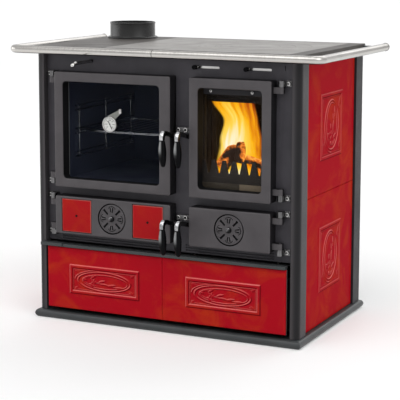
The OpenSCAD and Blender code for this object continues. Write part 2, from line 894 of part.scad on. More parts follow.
// Round case with its dial face, and the stem that goes through the glass
module thermometer_case() {
    color("#e8e8e6") difference() {
        union() {
            rod_y(thermo_x, thermo_y, glass_y, thermo_z, thermo_r);
            rod_y(thermo_x, glass_y - 0.5, door_back, thermo_z, stem_r);
        }
        rod_y(thermo_x, thermo_y - 1, thermo_y + 4, thermo_z, thermo_r - 3);
        rod_y(thermo_x, thermo_y + 3, thermo_y + 9, thermo_z, 1.5 + pin_gap);
    }
}

module thermometer_needle() {
    color("#303030") {
        rod_y(thermo_x, thermo_y + 2, thermo_y + 8.5, thermo_z, 1.5);
        translate([thermo_x, thermo_y + 3, thermo_z]) rotate([0, 62, 0])
            translate([-11, -0.6, -0.9]) cube([28, 1.2, 1.8]);
    }
}

module fire_door_frame() {
    color("#58555a") {
        difference() {
            door_blank(fire_x0, fire_x1, upper_door_z, upper_z1, right_pin, 1, upper_knuckles);
            window_cut(fire_win[0], fire_win[1], win_z0, win_z1);
        }
        handle_pin(fire_x0, -1, upper_pivot);
    }
}

module fire_door_glass() {
    color("#b5a58a", 0.25) window_glass(fire_win[0], fire_win[1], win_z0, win_z1);
}

// Strip that holds the top edge of the glass, with its two screws
module fire_glass_retainer() {
    z0 = win_z1 - 20;
    color("#77747a") {
        block(fire_win[0] + 4, fire_win[1] - 4, glass_y - 3, glass_y, z0, win_z1 - 4);
        for (x = [fire_win[0] + 29, fire_win[1] - 42])
            rod_y(x, glass_y - 6, glass_y - 3, z0 + 10, 4);
    }
}

// Recess and bearing for the rosette, with its four air slots
module rosette_seat(x) {
    rod_y(x, door_front - 1, door_front + rosette_t, rosette_z, rosette_r + rosette_gap);
    rod_y(x, door_front, door_front + 24, rosette_z, 5 + pin_gap);
    rosette_slots(x, 45, door_front, door_back + 1);
}

// Four slots about a rosette's middle, the first at the given angle
module rosette_slots(x, angle, y0, y1) {
    for (i = [0 : 3]) translate([x, 0, rosette_z]) rotate([0, angle + i * 90, 0])
        block(rosette_r * 0.4, rosette_r * 0.78, y0, y1, -3, 3);
}

// Turning draught plate: rim, four petals, four slots and a knob
module rosette(x) {
    y0 = door_front - 1;
    y1 = door_front + rosette_t - 0.3;
    color("#4c494e") difference() {
        union() {
            rod_y(x, y0 + 2, y1, rosette_z, rosette_r);
            difference() {
                rod_y(x, y0, y1, rosette_z, rosette_r);
                rod_y(x, y0 - 1, y1, rosette_z, rosette_r - 5);
            }
            for (i = [0 : 3]) translate([x, y0 + 2, rosette_z]) rotate([90, i * 90, 0])
                linear_extrude(2) intersection() {
                    difference() {
                        circle(rosette_r * 0.84);
                        circle(rosette_r * 0.3);
                    }
                    polygon([[0, 0], [60, 34], [60, -34]]);
                }
            rod_y(x, y0 - 7, y0 + 3, rosette_z, 9);
            rod_y(x, y1 - 1, y1 + 16, rosette_z, 5);
        }
        rosette_slots(x, 45, y0 - 1, y1 + 1);
    }
}

module tile_door_frame() {
    color("#58555a") {
        difference() {
            door_blank(oven_x0, oven_x1, lower_door_z, lower_z1, left_pin, -1, lower_knuckles);
            for (s = [-1, 1]) small_tile_pocket(s);
            rosette_seat(oven_mid);
            lower_hollow(oven_in0 + 6, oven_in1 - 6);
        }
        handle_pin(oven_x1, 1, lower_pivot);
    }
}

// The back of a lower door is hollow, as a casting is
module lower_hollow(x0, x1) {
    block(x0, x1, door_front + 27, door_back + 1, low_in_z0 + 4, low_in_z1 - 4);
}

module small_tile_pocket(side) {
    half = small_tile / 2 + 0.5;
    x = oven_mid + side * tile_off;
    block(x - half, x + half, door_front - 1, door_front + small_tile_t, rosette_z - half, rosette_z + half);
}

// Small glazed squares with a centre screw
module tile_door_tiles() {
    half = small_tile / 2;
    color("#c01822") for (s = [-1, 1]) {
        x = oven_mid + s * tile_off;
        block(x - half, x + half, door_front, door_front + small_tile_t, rosette_z - half, rosette_z + half);
        rod_y(x, door_front - 1.5, door_front + 1, rosette_z, 3.5);
    }
}

module tile_door_rosette() { rosette(oven_mid); }

module ash_door_frame() {
    color("#58555a") {
        difference() {
            door_blank(fire_x0, fire_x1, lower_door_z, lower_z1, right_pin, 1, lower_knuckles);
            rosette_seat(fire_mid);
            lower_hollow(fire_in0 + 6, fire_in1 - 6);
        }
        handle_pin(fire_x0, -1, lower_pivot);
    }
}

module ash_door_rosette() { rosette(fire_mid); }

// ---- Handles ----

// Arm and neck of a handle, seen from the side: the hook points back, the neck hangs in front
module lever_outline() {
    g = grip_y;
    polygon([[25, -8], [26, 2], [14, 7], [-18, 10], [g + 25, 20], [g + 5, 22], [g - 5, 14],
             [g - 8, 3], [g - 7, -lever_drop], [g + 7, -lever_drop], [g + 7, 2], [g + 10, 6],
             [g + 21, 6], [-18, -3], [0, -8], [16, -4]]);
}

// Broad front of the neck
module neck_outline() {
    g = grip_y;
    polygon([[g + 11, 20], [g + 4, 21], [g - 5, 14], [g - 8, 3], [g - 7, -lever_drop],
             [g + 7, -lever_drop], [g + 7, 2], [g + 9, 8]]);
}

module lever(edge_x, side, z) {
    x0 = side > 0 ? edge_x + lever_gap : edge_x - lever_gap - lever_t;
    color("#a8a8aa") translate([0, pivot_y, z]) difference() {
        union() {
            wall_yz(x0, x0 + lever_t) lever_outline();
            wall_yz(x0 - 2, x0 + lever_t + 2) neck_outline();
        }
        rod_x(x0 - 1, x0 + lever_t + 1, 0, 0, pin_r + pin_gap);
    }
}

// Black grip under the neck, bowed a little and coming back towards the door
module grip(edge_x, side, z) {
    x = side > 0 ? edge_x + lever_gap + lever_t / 2 : edge_x - lever_gap - lever_t / 2;
    color("#1c1c1e") translate([x, pivot_y, z]) intersection() {
        hull() {
            translate([0, grip_y, -lever_drop + 1]) sphere(8, $fn = 24);
            translate([0, grip_y - 1, -lever_drop - grip_len * 0.33]) sphere(12, $fn = 24);
            translate([0, grip_y + 2, -lever_drop - grip_len * 0.64]) sphere(11, $fn = 24);
            translate([0, grip_y + 7, -lever_drop - grip_len + 6]) sphere(6, $fn = 24);
        }
        block(-20, 20, grip_y - 30, grip_y + 40, -lever_drop - grip_len - 10, -lever_drop);
    }
}

module oven_handle_lever() { lever(oven_x1, 1, upper_pivot); }
module oven_handle_grip() { grip(oven_x1, 1, upper_pivot); }
module tile_handle_lever() { lever(oven_x1, 1, lower_pivot); }
module tile_handle_grip() { grip(oven_x1, 1, lower_pivot); }
module fire_handle_lever() { lever(fire_x0, -1, upper_pivot); }
module fire_handle_grip() { grip(fire_x0, -1, upper_pivot); }
module ash_handle_lever() { lever(fire_x0, -1, lower_pivot); }
module ash_handle_grip() { grip(fire_x0, -1, lower_pivot); }

// ---- Drawer ----

// Steel box with its front plate, its top lip, a pull tab on the left end of the lip
// and the flanges that ride on the runners
module drawer_box() {
    y1 = back_y - panel_t - drawer_rear_gap;
    color("#3b4142") {
        block(-drawer_half, drawer_half, -half_d, box_y0, drawer_z0, drawer_z1);
        block(-drawer_half, drawer_half, drawer_front - 4, box_y0, drawer_z1, drawer_z1 + 9);
        block(-drawer_half - 18, -drawer_half + 57, drawer_front - 8, -half_d - 2,
              drawer_z1 + 1, drawer_z1 + 11);
        difference() {
            block(-box_half, box_half, box_y0, y1, drawer_z0 + 3, box_top);
            block(-box_half + drawer_wall, box_half - drawer_wall, box_y0 - 1, y1 - drawer_wall,
                  drawer_z0 + 3 + drawer_wall, box_top + 1);
        }
        for (s = [-1, 1]) mirror([s < 0 ? 1 : 0, 0, 0])
            block(box_half, box_half + 12, box_y0 + 25, y1, box_top - drawer_wall, box_top);
    }
}

// Two large glazed tiles on the drawer's front
module drawer_tiles() {
    edge = 1;
    color("#b0121f") for (s = [-1, 1]) {
        x0 = s < 0 ? -drawer_half + edge : edge / 2;
        x1 = s < 0 ? -edge / 2 : drawer_half - edge;
        block(x0, x1, -half_d - tile_t, -half_d, drawer_z0 + 2, drawer_z1 - 2);
        translate([(x0 + x1) / 2, -half_d - tile_t, (drawer_z0 + drawer_z1) / 2])
            rotate([90, 0, 0]) moulding((x1 - x0) * 0.61, drawer_h * 0.47);
    }
}

module drawer_runners() {
    color("#77747a") for (s = [-1, 1]) mirror([s < 0 ? 1 : 0, 0, 0])
        block(box_half + 2, inner_x, facade_back, back_y - panel_t,
              box_top - drawer_wall - 10.3, box_top - drawer_wall - 0.3);
}

// ---- Draught controls ----

// Pull rod with a knob, and the plate that slides over the oven towards the flue
module flue_damper() {
    y0 = facade_y - damper_out;
    plate_y = flue_y + damper_len / 2 - damper_len - damper_travel;
    low = oven_in_z1 + oven_wall + 0.3;
    bend = damper_out - damper_travel - 4;
    knob_drop = 5;
    color("silver") {
        rod_y(damper_x, y0 + bend, plate_y + 4, damper_z, rod_r);
        translate([damper_x, y0 + bend, damper_z]) sphere(rod_r + 0.8);
        translate([damper_x, y0 + bend, damper_z])
            rotate([90 + atan(knob_drop / bend), 0, 0]) cylinder(h = norm([bend, knob_drop]), r = rod_r);
        translate([damper_x, y0, damper_z - knob_drop]) sphere(6.5);
        block(damper_x - 60, damper_x + 60, plate_y, plate_y + damper_len, low, low + 3);
        block(damper_x - 9, damper_x + 9, plate_y, plate_y + 4, low, damper_z);
    }
}

// Sliding air strip behind its slot, with the stud and the knob in front
module air_slider(x) {
    stud = x + 10;
    color("#b4b2b4") {
        block(x - 8, x + slot_l + 12, facade_back + 0.3, facade_back + 3.3, slider_z - 10, slider_z + 10);
        rod_y(stud, facade_y - 4, facade_back + 1, slider_z, 3.4);
        rod_y(stud, facade_y - 14, facade_y - 1, slider_z, 6.5);
    }
}

module air_slider_left() { air_slider(slider_left_x); }
module air_slider_right() { air_slider(slider_right_x); }

plinth();
post_front_left();
post_front_right();
post_rear_left();
post_rear_right();
side_panel_left();
side_panel_right();
side_tiles_left();
side_tiles_right();
back_panel();
facade();
top_frame();
cooking_plate();
rail_front();
rail_left();
rail_right();
rail_brackets();
flue_collar();
oven_box();
oven_side_racks();
oven_shelf();
firebox_liners();
fire_grate();
log_guard();
ash_chamber();
ash_pan();
cleaning_chamber();
middle_shelf();
drawer_runners();
latch_keepers();
hinge_brackets();
door_seals();
oven_door_frame();
oven_door_glass();
thermometer_case();
thermometer_needle();
oven_handle_lever();
oven_handle_grip();
tile_door_frame();
tile_door_tiles();
tile_door_rosette();
tile_handle_lever();
tile_handle_grip();
fire_door_frame();
fire_door_glass();
fire_glass_retainer();
fire_handle_lever();
fire_handle_grip();
ash_door_frame();
ash_door_rosette();
ash_handle_lever();
ash_handle_grip();
drawer_box();
drawer_tiles();
flue_damper();
air_slider_left();
air_slider_right();
ring_outer();
ring_inner();
hob_lid();
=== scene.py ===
import bpy, bmesh, json
from math import radians, sin, cos, pi, sqrt, atan2, hypot
from mathutils import Matrix, Vector, noise

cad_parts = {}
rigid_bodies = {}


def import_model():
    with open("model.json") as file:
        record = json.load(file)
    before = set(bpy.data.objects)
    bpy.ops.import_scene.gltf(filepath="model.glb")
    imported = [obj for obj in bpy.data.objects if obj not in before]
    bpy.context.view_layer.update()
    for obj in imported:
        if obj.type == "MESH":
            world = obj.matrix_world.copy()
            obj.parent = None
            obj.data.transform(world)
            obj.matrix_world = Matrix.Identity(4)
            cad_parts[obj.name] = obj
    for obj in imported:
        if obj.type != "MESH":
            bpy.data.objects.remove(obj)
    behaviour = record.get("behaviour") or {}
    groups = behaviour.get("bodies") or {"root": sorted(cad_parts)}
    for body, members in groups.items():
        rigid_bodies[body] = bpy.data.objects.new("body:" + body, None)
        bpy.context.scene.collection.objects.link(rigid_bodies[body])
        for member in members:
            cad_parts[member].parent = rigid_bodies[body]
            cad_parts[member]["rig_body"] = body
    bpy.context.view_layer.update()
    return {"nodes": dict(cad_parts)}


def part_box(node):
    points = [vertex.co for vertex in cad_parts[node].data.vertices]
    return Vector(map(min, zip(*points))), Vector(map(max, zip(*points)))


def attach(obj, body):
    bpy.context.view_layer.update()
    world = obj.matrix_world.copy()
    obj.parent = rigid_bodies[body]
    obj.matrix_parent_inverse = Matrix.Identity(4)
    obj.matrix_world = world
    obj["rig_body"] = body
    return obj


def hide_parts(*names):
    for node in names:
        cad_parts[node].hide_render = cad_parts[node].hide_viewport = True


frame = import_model()
cadNodes = frame["nodes"]
print("range cooker: frame loaded,", len(cadNodes), "parts")

# studio
studio = {
    "lens": 128.88, "shift": -0.1251,                # mm on a 36 mm sensor, part of the frame
    "cameraPlace": (1.8939, -4.0119, 1.1617),
    "yaw": -25.342, "pitch": 8.239, "roll": 0.103,   # degrees
    "skyLight": 0.42,
    "suns": [   # name, strength, softness, azimuth, height
        ("keyLight", 1.0, 50, -10, 54), ("sideLight", 1.18, 50, 62, 36), ("backLight", 0.75, 50, 172, 46)],
    "panels": [   # name, watts, size, place
        ("leftPanel", 27.0, (3.0, 1.5), (-3.6, -0.9, 1.3)), ("topPanel", 2.0, (2.6, 1.2), (0.3, -1.2, 3.0))],
    "aimHeight": 0.5,
    "floorSize": 60.0, "floorTone": 0.82, "floorGlow": 0.15,
}


def newObject(name, data):
    made = bpy.data.objects.new(name, data)
    bpy.context.scene.collection.objects.link(made)
    return made


def makeCamera(s):
    yaw, pitch, roll = (radians(s[k]) for k in ("yaw", "pitch", "roll"))
    forward = Vector((sin(yaw) * cos(pitch), cos(yaw) * cos(pitch), -sin(pitch)))
    right = Vector((cos(yaw), -sin(yaw), 0))
    up = right.cross(forward)
    side = right * cos(roll) + up * sin(roll)
    top = up * cos(roll) - right * sin(roll)
    data = bpy.data.cameras.new("photoCamera")
    data.lens, data.sensor_width, data.shift_y = s["lens"], 36, s["shift"]
    data.clip_end = 200
    camera = newObject("photoCamera", data)
    rows = [(side[k], top[k], -forward[k], s["cameraPlace"][k]) for k in range(3)]
    camera.matrix_world = Matrix((*rows, (0, 0, 0, 1)))
    bpy.context.scene.camera = camera


def makeLights(s):
    for name, strength, softness, azimuth, height in s["suns"]:
        data = bpy.data.lights.new(name, "SUN")
        data.energy, data.angle = strength, radians(softness)
        a, h = radians(azimuth), radians(height)
        toLamp = Vector((sin(a) * cos(h), -cos(a) * cos(h), sin(h)))
        newObject(name, data).rotation_euler = toLamp.to_track_quat("Z", "Y").to_euler()
    for name, power, size, place in s["panels"]:
        data = bpy.data.lights.new(name, "AREA")
        data.energy, data.shape, data.size, data.size_y = power, "RECTANGLE", size[0], size[1]
        lamp = newObject(name, data)
        lamp.location = place
        toLamp = Vector(place) - Vector((0, 0, s["aimHeight"]))
        lamp.rotation_euler = toLamp.to_track_quat("Z", "Y").to_euler()


# node helpers
def addNode(tree, kind, inputs=None, **settings):
    node = tree.nodes.new("ShaderNode" + kind)
    for key, value in settings.items():
        setattr(node, key, value)
    for key, value in (inputs or {}).items():
        if isinstance(value, bpy.types.NodeSocket):
            tree.links.new(value, node.inputs[key])
        else:
            node.inputs[key].default_value = value
    return node


def calc(tree, operation, *values):
    return addNode(tree, "Math", dict(enumerate(values)), operation=operation).outputs[0]


def remap(tree, value, low, high, toLow=0.0, toHigh=1.0, kind="LINEAR"):
    inputs = {"Value": value, "From Min": low, "From Max": high, "To Min": toLow, "To Max": toHigh}
    return addNode(tree, "MapRange", inputs, interpolation_type=kind).outputs[0]


def noiseOf(tree, place, scale, detail=2.0, **more):
    return addNode(tree, "TexNoise", {"Vector": place, "Scale": scale, "Detail": detail, **more}).outputs[0]


def objectPlace(tree):
    return addNode(tree, "TexCoord").outputs["Object"]


def feed(tree, inputs, **sources):   # links each source to the input of its name
    for key, source in sources.items():
        tree.links.new(source, inputs[key.replace("_", " ")])


def seenDirectly(tree):   # 1 for camera, mirror and glass rays
    path = addNode(tree, "LightPath").outputs
    either = calc(tree, "MAXIMUM", path["Is Camera Ray"], path["Is Glossy Ray"])
    return calc(tree, "MAXIMUM", either, path["Is Transmission Ray"])


def makeWorld(s):
    world = bpy.data.worlds.new("whiteStudio")
    bpy.context.scene.world = world
    world.use_nodes = True
    tree = world.node_tree
    background = tree.nodes["Background"]
    background.inputs["Color"].default_value = (1, 1, 1, 1)
    feed(tree, background.inputs, Strength=remap(tree, seenDirectly(tree), 0.0, 1.0, s["skyLight"], 1.0))


def startFinish(name, **constants):
    material = bpy.data.materials.new(name)
    material.use_nodes = True
    bsdf = material.node_tree.nodes["Principled BSDF"]
    for key, value in constants.items():
        socket = bsdf.inputs[key.replace("_", " ")]
        socket.default_value = (*value, 1) if isinstance(value, tuple) and len(value) == 3 else value
    return material, material.node_tree, bsdf


def makeFloor(s):
    bm = bmesh.new()
    bmesh.ops.create_grid(bm, x_segments=1, y_segments=1, size=s["floorSize"])
    mesh = bpy.data.meshes.new("studioFloor")
    bm.to_mesh(mesh)
    bm.free()
    material, tree, bsdf = startFinish("paleFloor", Base_Color=(s["floorTone"],) * 3, Roughness=0.9,
                                       Specular_IOR_Level=0.0, Emission_Strength=1.0)
    feed(tree, bsdf.inputs, Emission_Color=remap(tree, seenDirectly(tree), 0.0, 1.0, 0.0, s["floorGlow"]))
    mesh.materials.append(material)
    newObject("studioFloor", mesh)


makeCamera(studio)
makeLights(studio)
makeWorld(studio)
makeFloor(studio)
print("range cooker: studio ready")


# shared finishes
def newGroup(name, inputs, outputs):   # one number makes a number socket, three make a vector
    tree = bpy.data.node_groups.new(name, "ShaderNodeTree")
    for label, value in inputs.items():
        kind = "NodeSocketVector" if isinstance(value, tuple) else "NodeSocketFloat"
        tree.interface.new_socket(name=label, in_out="INPUT", socket_type=kind).default_value = value
    for label in outputs:
        tree.interface.new_socket(name=label, in_out="OUTPUT", socket_type="NodeSocketFloat")
    return tree, tree.nodes.new("NodeGroupInput").outputs, tree.nodes.new("NodeGroupOutput").inputs


def castSkinGroup():   # sand-cast grain: fine bumps, slow swells and a slow tone
    tree, ins, outs = newGroup("castSkin", {"Grain": 700.0, "Swell": 14.0}, ["Height", "Tone"])
    place = objectPlace(tree)
    grain = noiseOf(tree, place, ins["Grain"], 3.0, Roughness=0.6)
    swell = noiseOf(tree, place, ins["Swell"], 4.0, Roughness=0.55)
    feed(tree, outs, Height=calc(tree, "MULTIPLY_ADD", swell, 0.35, grain), Tone=remap(tree, swell, 0.3, 0.7))
    return tree


def edgeRubGroup():   # 1 on rubbed outer edges, 0 on the faces
    tree, ins, outs = newGroup("edgeRub", {"Width": 0.0015, "Break": 60.0}, ["Mask"])
    place = objectPlace(tree)
    soft = addNode(tree, "Bevel", {"Radius": ins["Width"]}, samples=4).outputs[0]
    flat = addNode(tree, "NewGeometry").outputs["True Normal"]
    match = addNode(tree, "VectorMath", {0: soft, 1: flat}, operation="DOT_PRODUCT").outputs["Value"]
    some = remap(tree, noiseOf(tree, place, ins["Break"], 3.0), 0.35, 0.65)
    feed(tree, outs, Mask=calc(tree, "MULTIPLY", remap(tree, match, 0.99, 0.75), some))
    return tree


def brushLinesGroup():   # fine lines along one axis, from noise squeezed across it
    tree, ins, outs = newGroup("brushLines", {"Squeeze": (4.0, 900.0, 900.0)}, ["Lines", "Cloud"])
    place = objectPlace(tree)
    squeezed = addNode(tree, "VectorMath", {0: place, 1: ins["Squeeze"]}, operation="MULTIPLY").outputs[0]
    feed(tree, outs, Lines=noiseOf(tree, squeezed, 1.0), Cloud=noiseOf(tree, place, 11.0, 4.0))
    return tree


def wipeMarksGroup():   # roughness that changes where a cloth or hand has been
    tree, ins, outs = newGroup("wipeMarks", {"Low": 0.3, "High": 0.5, "Size": 9.0}, ["Roughness"])
    marks = noiseOf(tree, objectPlace(tree), ins["Size"], 5.0, Distortion=0.6)
    feed(tree, outs, Roughness=remap(tree, marks, 0.3, 0.7, ins["Low"], ins["High"]))
    return tree


def glazeFlowGroup():   # pooled and thinned glaze: long soft patches
    tree, ins, outs = newGroup("glazeFlow", {"Size": 7.0}, ["Patches", "Ripple"])
    place = objectPlace(tree)
    feed(tree, outs, Patches=noiseOf(tree, place, ins["Size"], 5.0, Roughness=0.6, Distortion=1.1),
         Ripple=noiseOf(tree, place, 38.0))
    return tree


def sheenShadeMaskGroup():   # masks by facing direction for a painted highlight band and painted shade on faces turned from the axis, on round bright metal
    tree, ins, outs = newGroup("sheenShadeMask", {"Axis": (0.0, 0.0, 1.0), "Band": 0.1, "Under": -0.6}, ["Bright", "PaintedShade"])
    normal = addNode(tree, "TexCoord").outputs["Normal"]
    facing = addNode(tree, "VectorMath", {0: normal, 1: ins["Axis"]}, operation="DOT_PRODUCT").outputs["Value"]
    for label, start, width in (("PaintedShade", "Under", 0.25), ("Bright", "Band", 0.3)):
        end = calc(tree, "SUBTRACT", ins[start], width)
        tree.links.new(remap(tree, facing, ins[start], end, kind="SMOOTHSTEP"), outs[label])
    return tree


def cornerShadeMaskGroup():   # mask for painted corner shade: 0 along the upright outer corners of a box round the origin, 1 farther in
    sizes = {"HalfWide": 0.4345, "HalfDeep": 0.268, "From": 0.009, "To": 0.024}
    tree, ins, outs = newGroup("cornerShadeMask", sizes, ["Mask"])
    ahead = addNode(tree, "VectorMath", {0: objectPlace(tree)}, operation="ABSOLUTE").outputs[0]
    sides = addNode(tree, "SeparateXYZ", {0: ahead}).outputs
    away = [calc(tree, "SUBTRACT", ins[key], sides[k]) for k, key in enumerate(("HalfWide", "HalfDeep"))]
    feed(tree, outs, Mask=remap(tree, calc(tree, "ADD", *away), ins["From"], ins["To"], kind="SMOOTHSTEP"))
    return tree


castSkin, edgeRub, brushLines = castSkinGroup(), edgeRubGroup(), brushLinesGroup()
wipeMarks, glazeFlow, sheenShadeMask = wipeMarksGroup(), glazeFlowGroup(), sheenShadeMaskGroup()
cornerShadeMask = cornerShadeMaskGroup()


def useGroup(tree, group, **inputs):
    return addNode(tree, "Group", inputs, node_tree=group).outputs


def wipedRoughness(tree, rough, size=9.0):
    return useGroup(tree, wipeMarks, Low=rough[0], High=rough[1], Size=size)["Roughness"]


def mixColour(tree, factor, low, high):
    low, high = (c if isinstance(c, bpy.types.NodeSocket) else (*c, 1) for c in (low, high))
    return addNode(tree, "Mix", {"Factor": factor, 6: low, 7: high}, data_type="RGBA").outputs[2]


def addBump(tree, bsdf, height, depth, strength=1.0):
    bump = addNode(tree, "Bump", {"Height": height, "Distance": depth, "Strength": strength})
    feed(tree, bsdf.inputs, Normal=bump.outputs[0])


def scaled(colour, share):
    return tuple(c * share for c in colour)


def castFinish(name, dark, light, rub, rough, grain=700.0, depth=0.0003, rubWidth=0.0015, rubShare=0.6, **constants):
    material, tree, bsdf = startFinish(name, **constants)
    skin = useGroup(tree, castSkin, Grain=grain)
    share = calc(tree, "MULTIPLY", useGroup(tree, edgeRub, Width=rubWidth)["Mask"], rubShare)
    base = mixColour(tree, skin["Tone"], dark, light)
    feed(tree, bsdf.inputs, Base_Color=mixColour(tree, share, base, rub), Roughness=wipedRoughness(tree, rough))
    addBump(tree, bsdf, skin["Height"], depth)
    return material


def postFinish(corner, face):   # cast paint with painted shade darkening the outer corner
    material = castFinish("postPaint", scaled(corner, 0.9), scaled(corner, 1.2), (0.10, 0.095, 0.10), (0.38, 0.5),
                          Specular_IOR_Level=0.2)
    tree = material.node_tree
    inputs = tree.nodes["Principled BSDF"].inputs
    painted = inputs["Base Color"].links[0].from_socket
    feed(tree, inputs, Base_Color=mixColour(tree, useGroup(tree, cornerShadeMask)["Mask"], painted, face))
    return material


def steelFinish(name, dark, light, rough, squeeze, depth=0.00004, axis=(0.0, 0.0, 1.0), band=0.1, under=-0.6,
                paintedSheenGain=1.0, paintedShadeShare=1.0):
    material, tree, bsdf = startFinish(name, Metallic=1.0)
    lines = useGroup(tree, brushLines, Squeeze=squeeze)
    both = calc(tree, "MULTIPLY", lines["Lines"], lines["Cloud"])
    base = mixColour(tree, remap(tree, both, 0.12, 0.4), dark, light)
    if paintedSheenGain != 1.0 or paintedShadeShare != 1.0:
        # painted highlight on faces turned to the axis, painted shade on faces turned away
        sheenShade = useGroup(tree, sheenShadeMask, Axis=axis, Band=band, Under=under)
        base = mixColour(tree, sheenShade["Bright"], base, tuple(min(1.0, c) for c in scaled(light, paintedSheenGain)))
        base = mixColour(tree, sheenShade["PaintedShade"], base, scaled(dark, paintedShadeShare))
    feed(tree, bsdf.inputs, Base_Color=base, Roughness=wipedRoughness(tree, rough, 14.0))
    addBump(tree, bsdf, lines["Lines"], depth)
    return material


def glazeFinish(name, deep, warm, thin, size, coat=(0.06, 0.55), coatRough=0.12):
    material, tree, bsdf = startFinish(name, Specular_IOR_Level=0.0, Coat_Roughness=coatRough)
    flow = useGroup(tree, glazeFlow, Size=size)
    embossLight = addNode(tree, "Attribute", attribute_name="embossLightShade").outputs["Fac"]
    base = mixColour(tree, remap(tree, flow["Patches"], 0.48, 0.80), deep, warm)
    base = mixColour(tree, remap(tree, embossLight, -0.02, -0.5), base, scaled(deep, 0.45))   # painted shade beside the crests, on slopes turned from the light
    # painted highlight, pinkish like a reflection, on slopes turned to the light
    feed(tree, bsdf.inputs, Base_Color=mixColour(tree, remap(tree, embossLight, 0.08, 0.85), base, thin),
         Coat_Weight=remap(tree, embossLight, 0.0, 0.6, *coat), Roughness=wipedRoughness(tree, (0.30, 0.42)))
    addBump(tree, bsdf, flow["Ripple"], 0.0007, 0.5)
    return material


# colours: dark, light, rubbed edge; then the roughness from wiped to dull
ironPaint = castFinish("ironPaint", (0.015, 0.0142, 0.0165), (0.023, 0.0215, 0.0245), (0.085, 0.08, 0.085), (0.40, 0.55),
                       Specular_IOR_Level=0.2)
postPaint = postFinish((0.0065, 0.0060, 0.0072), (0.050, 0.046, 0.049))
# painted shade for the doors' outer side walls
doorSideShade = castFinish("doorSideShade", (0.007, 0.0065, 0.0075), (0.012, 0.011, 0.0125), (0.035, 0.033, 0.035), (0.45, 0.6),
                       Specular_IOR_Level=0.1)
platePaint = castFinish("platePaint", (0.044, 0.0415, 0.048), (0.061, 0.057, 0.066), (0.10, 0.095, 0.10), (0.40, 0.55),
                        Specular_IOR_Level=0.25)
doorPaint = castFinish("doorPaint", (0.056, 0.051, 0.055), (0.074, 0.068, 0.072), (0.13, 0.123, 0.128), (0.42, 0.56),
                       rubWidth=0.002, Specular_IOR_Level=0.28)
topIron = castFinish("topIron", (0.058, 0.053, 0.049), (0.087, 0.080, 0.075), (0.24, 0.23, 0.215), (0.42, 0.54),
                     grain=900.0, depth=0.00015, Specular_IOR_Level=0.14)
groundIron = castFinish("groundIron", (0.165, 0.155, 0.146), (0.245, 0.232, 0.220), (0.36, 0.345, 0.33), (0.36, 0.48),
                        grain=1100.0, depth=0.0001, Metallic=0.35, Specular_IOR_Level=0.35)
collarIron = castFinish("collarIron", (0.006, 0.006, 0.006), (0.011, 0.011, 0.011), (0.12, 0.115, 0.11), (0.22, 0.32),
                        Specular_IOR_Level=0.35)
trimPaint = castFinish("trimPaint", (0.030, 0.034, 0.0355), (0.043, 0.048, 0.050), (0.10, 0.108, 0.108), (0.34, 0.48),
                       grain=1200.0, depth=0.00012, Specular_IOR_Level=0.35)
sheetPaint = castFinish("sheetPaint", (0.020, 0.0195, 0.022), (0.028, 0.027, 0.030), (0.06, 0.06, 0.06), (0.45, 0.6),
                        grain=1500.0, depth=0.0001, Specular_IOR_Level=0.25)
fireIron = castFinish("fireIron", (0.022, 0.0185, 0.017), (0.046, 0.040, 0.037), (0.05, 0.042, 0.036), (0.7, 0.9),
                      grain=420.0, depth=0.0006, Specular_IOR_Level=0.2)
ovenSteel = castFinish("ovenSteel", (0.040, 0.048, 0.080), (0.064, 0.076, 0.118), (0.08, 0.09, 0.12), (0.28, 0.42),
                       grain=900.0, depth=0.00008, Specular_IOR_Level=0.4)
# black for dark joints and screws, and for painted shade in sockets, slots, reveals and seats
darkPartsAndShade = castFinish("darkPartsAndShade", (0.003, 0.003, 0.0035), (0.006, 0.006, 0.0065), (0.012, 0.012, 0.012), (0.6, 0.8),
                        Specular_IOR_Level=0.1)
# colours: dark, light; then the roughness and how the brushing runs; axis, band, under, sheen gain and shade share set
# a painted highlight band and painted shade by facing direction
railSteel = steelFinish("railSteel", (0.33, 0.32, 0.305), (0.44, 0.425, 0.405), (0.16, 0.26), (900.0, 5.0, 5.0),
                        band=0.10, under=-0.62, paintedSheenGain=1.25, paintedShadeShare=0.12)
brightSteel = steelFinish("brightSteel", (0.34, 0.335, 0.33), (0.56, 0.55, 0.54), (0.14, 0.24), (8.0, 700.0, 700.0),
                          under=-0.4, paintedShadeShare=0.2)
hingeSteel = steelFinish("hingeSteel", (0.07, 0.069, 0.07), (0.24, 0.236, 0.24), (0.22, 0.36), (300.0, 300.0, 12.0),
                         axis=(-0.2, -0.5, 0.85), under=-0.1, paintedShadeShare=0.18)
leverChrome = steelFinish("leverChrome", (0.22, 0.223, 0.23), (0.58, 0.58, 0.59), (0.06, 0.12), (90.0, 90.0, 90.0),
                          depth=0.00001, axis=(-0.75, -0.35, 0.55), band=-0.9, under=0.16, paintedShadeShare=0.20)
knobIron = steelFinish("knobIron", (0.05, 0.05, 0.052), (0.17, 0.165, 0.17), (0.2, 0.3), (200.0, 200.0, 200.0),
                       axis=(-0.70, -0.30, 0.62), band=-0.9, under=0.42, paintedShadeShare=0.25)
wireChrome = steelFinish("wireChrome", (0.20, 0.207, 0.225), (0.46, 0.47, 0.50), (0.12, 0.2), (500.0, 8.0, 8.0))
clipSteel = steelFinish("clipSteel", (0.16, 0.165, 0.15), (0.27, 0.275, 0.255), (0.3, 0.42), (500.0, 8.0, 8.0))
# glaze colours: deep, warm patch, then the painted highlight on crests; then the patch size
tileGlaze = glazeFinish("tileGlaze", (0.365, 0.0052, 0.0125), (0.43, 0.034, 0.008), (0.66, 0.115, 0.105), 8.5,
                        coat=(0.05, 0.35), coatRough=0.06)
smallGlaze = glazeFinish("smallGlaze", (0.35, 0.010, 0.0125), (0.37, 0.022, 0.010), (0.44, 0.09, 0.075), 16.0)


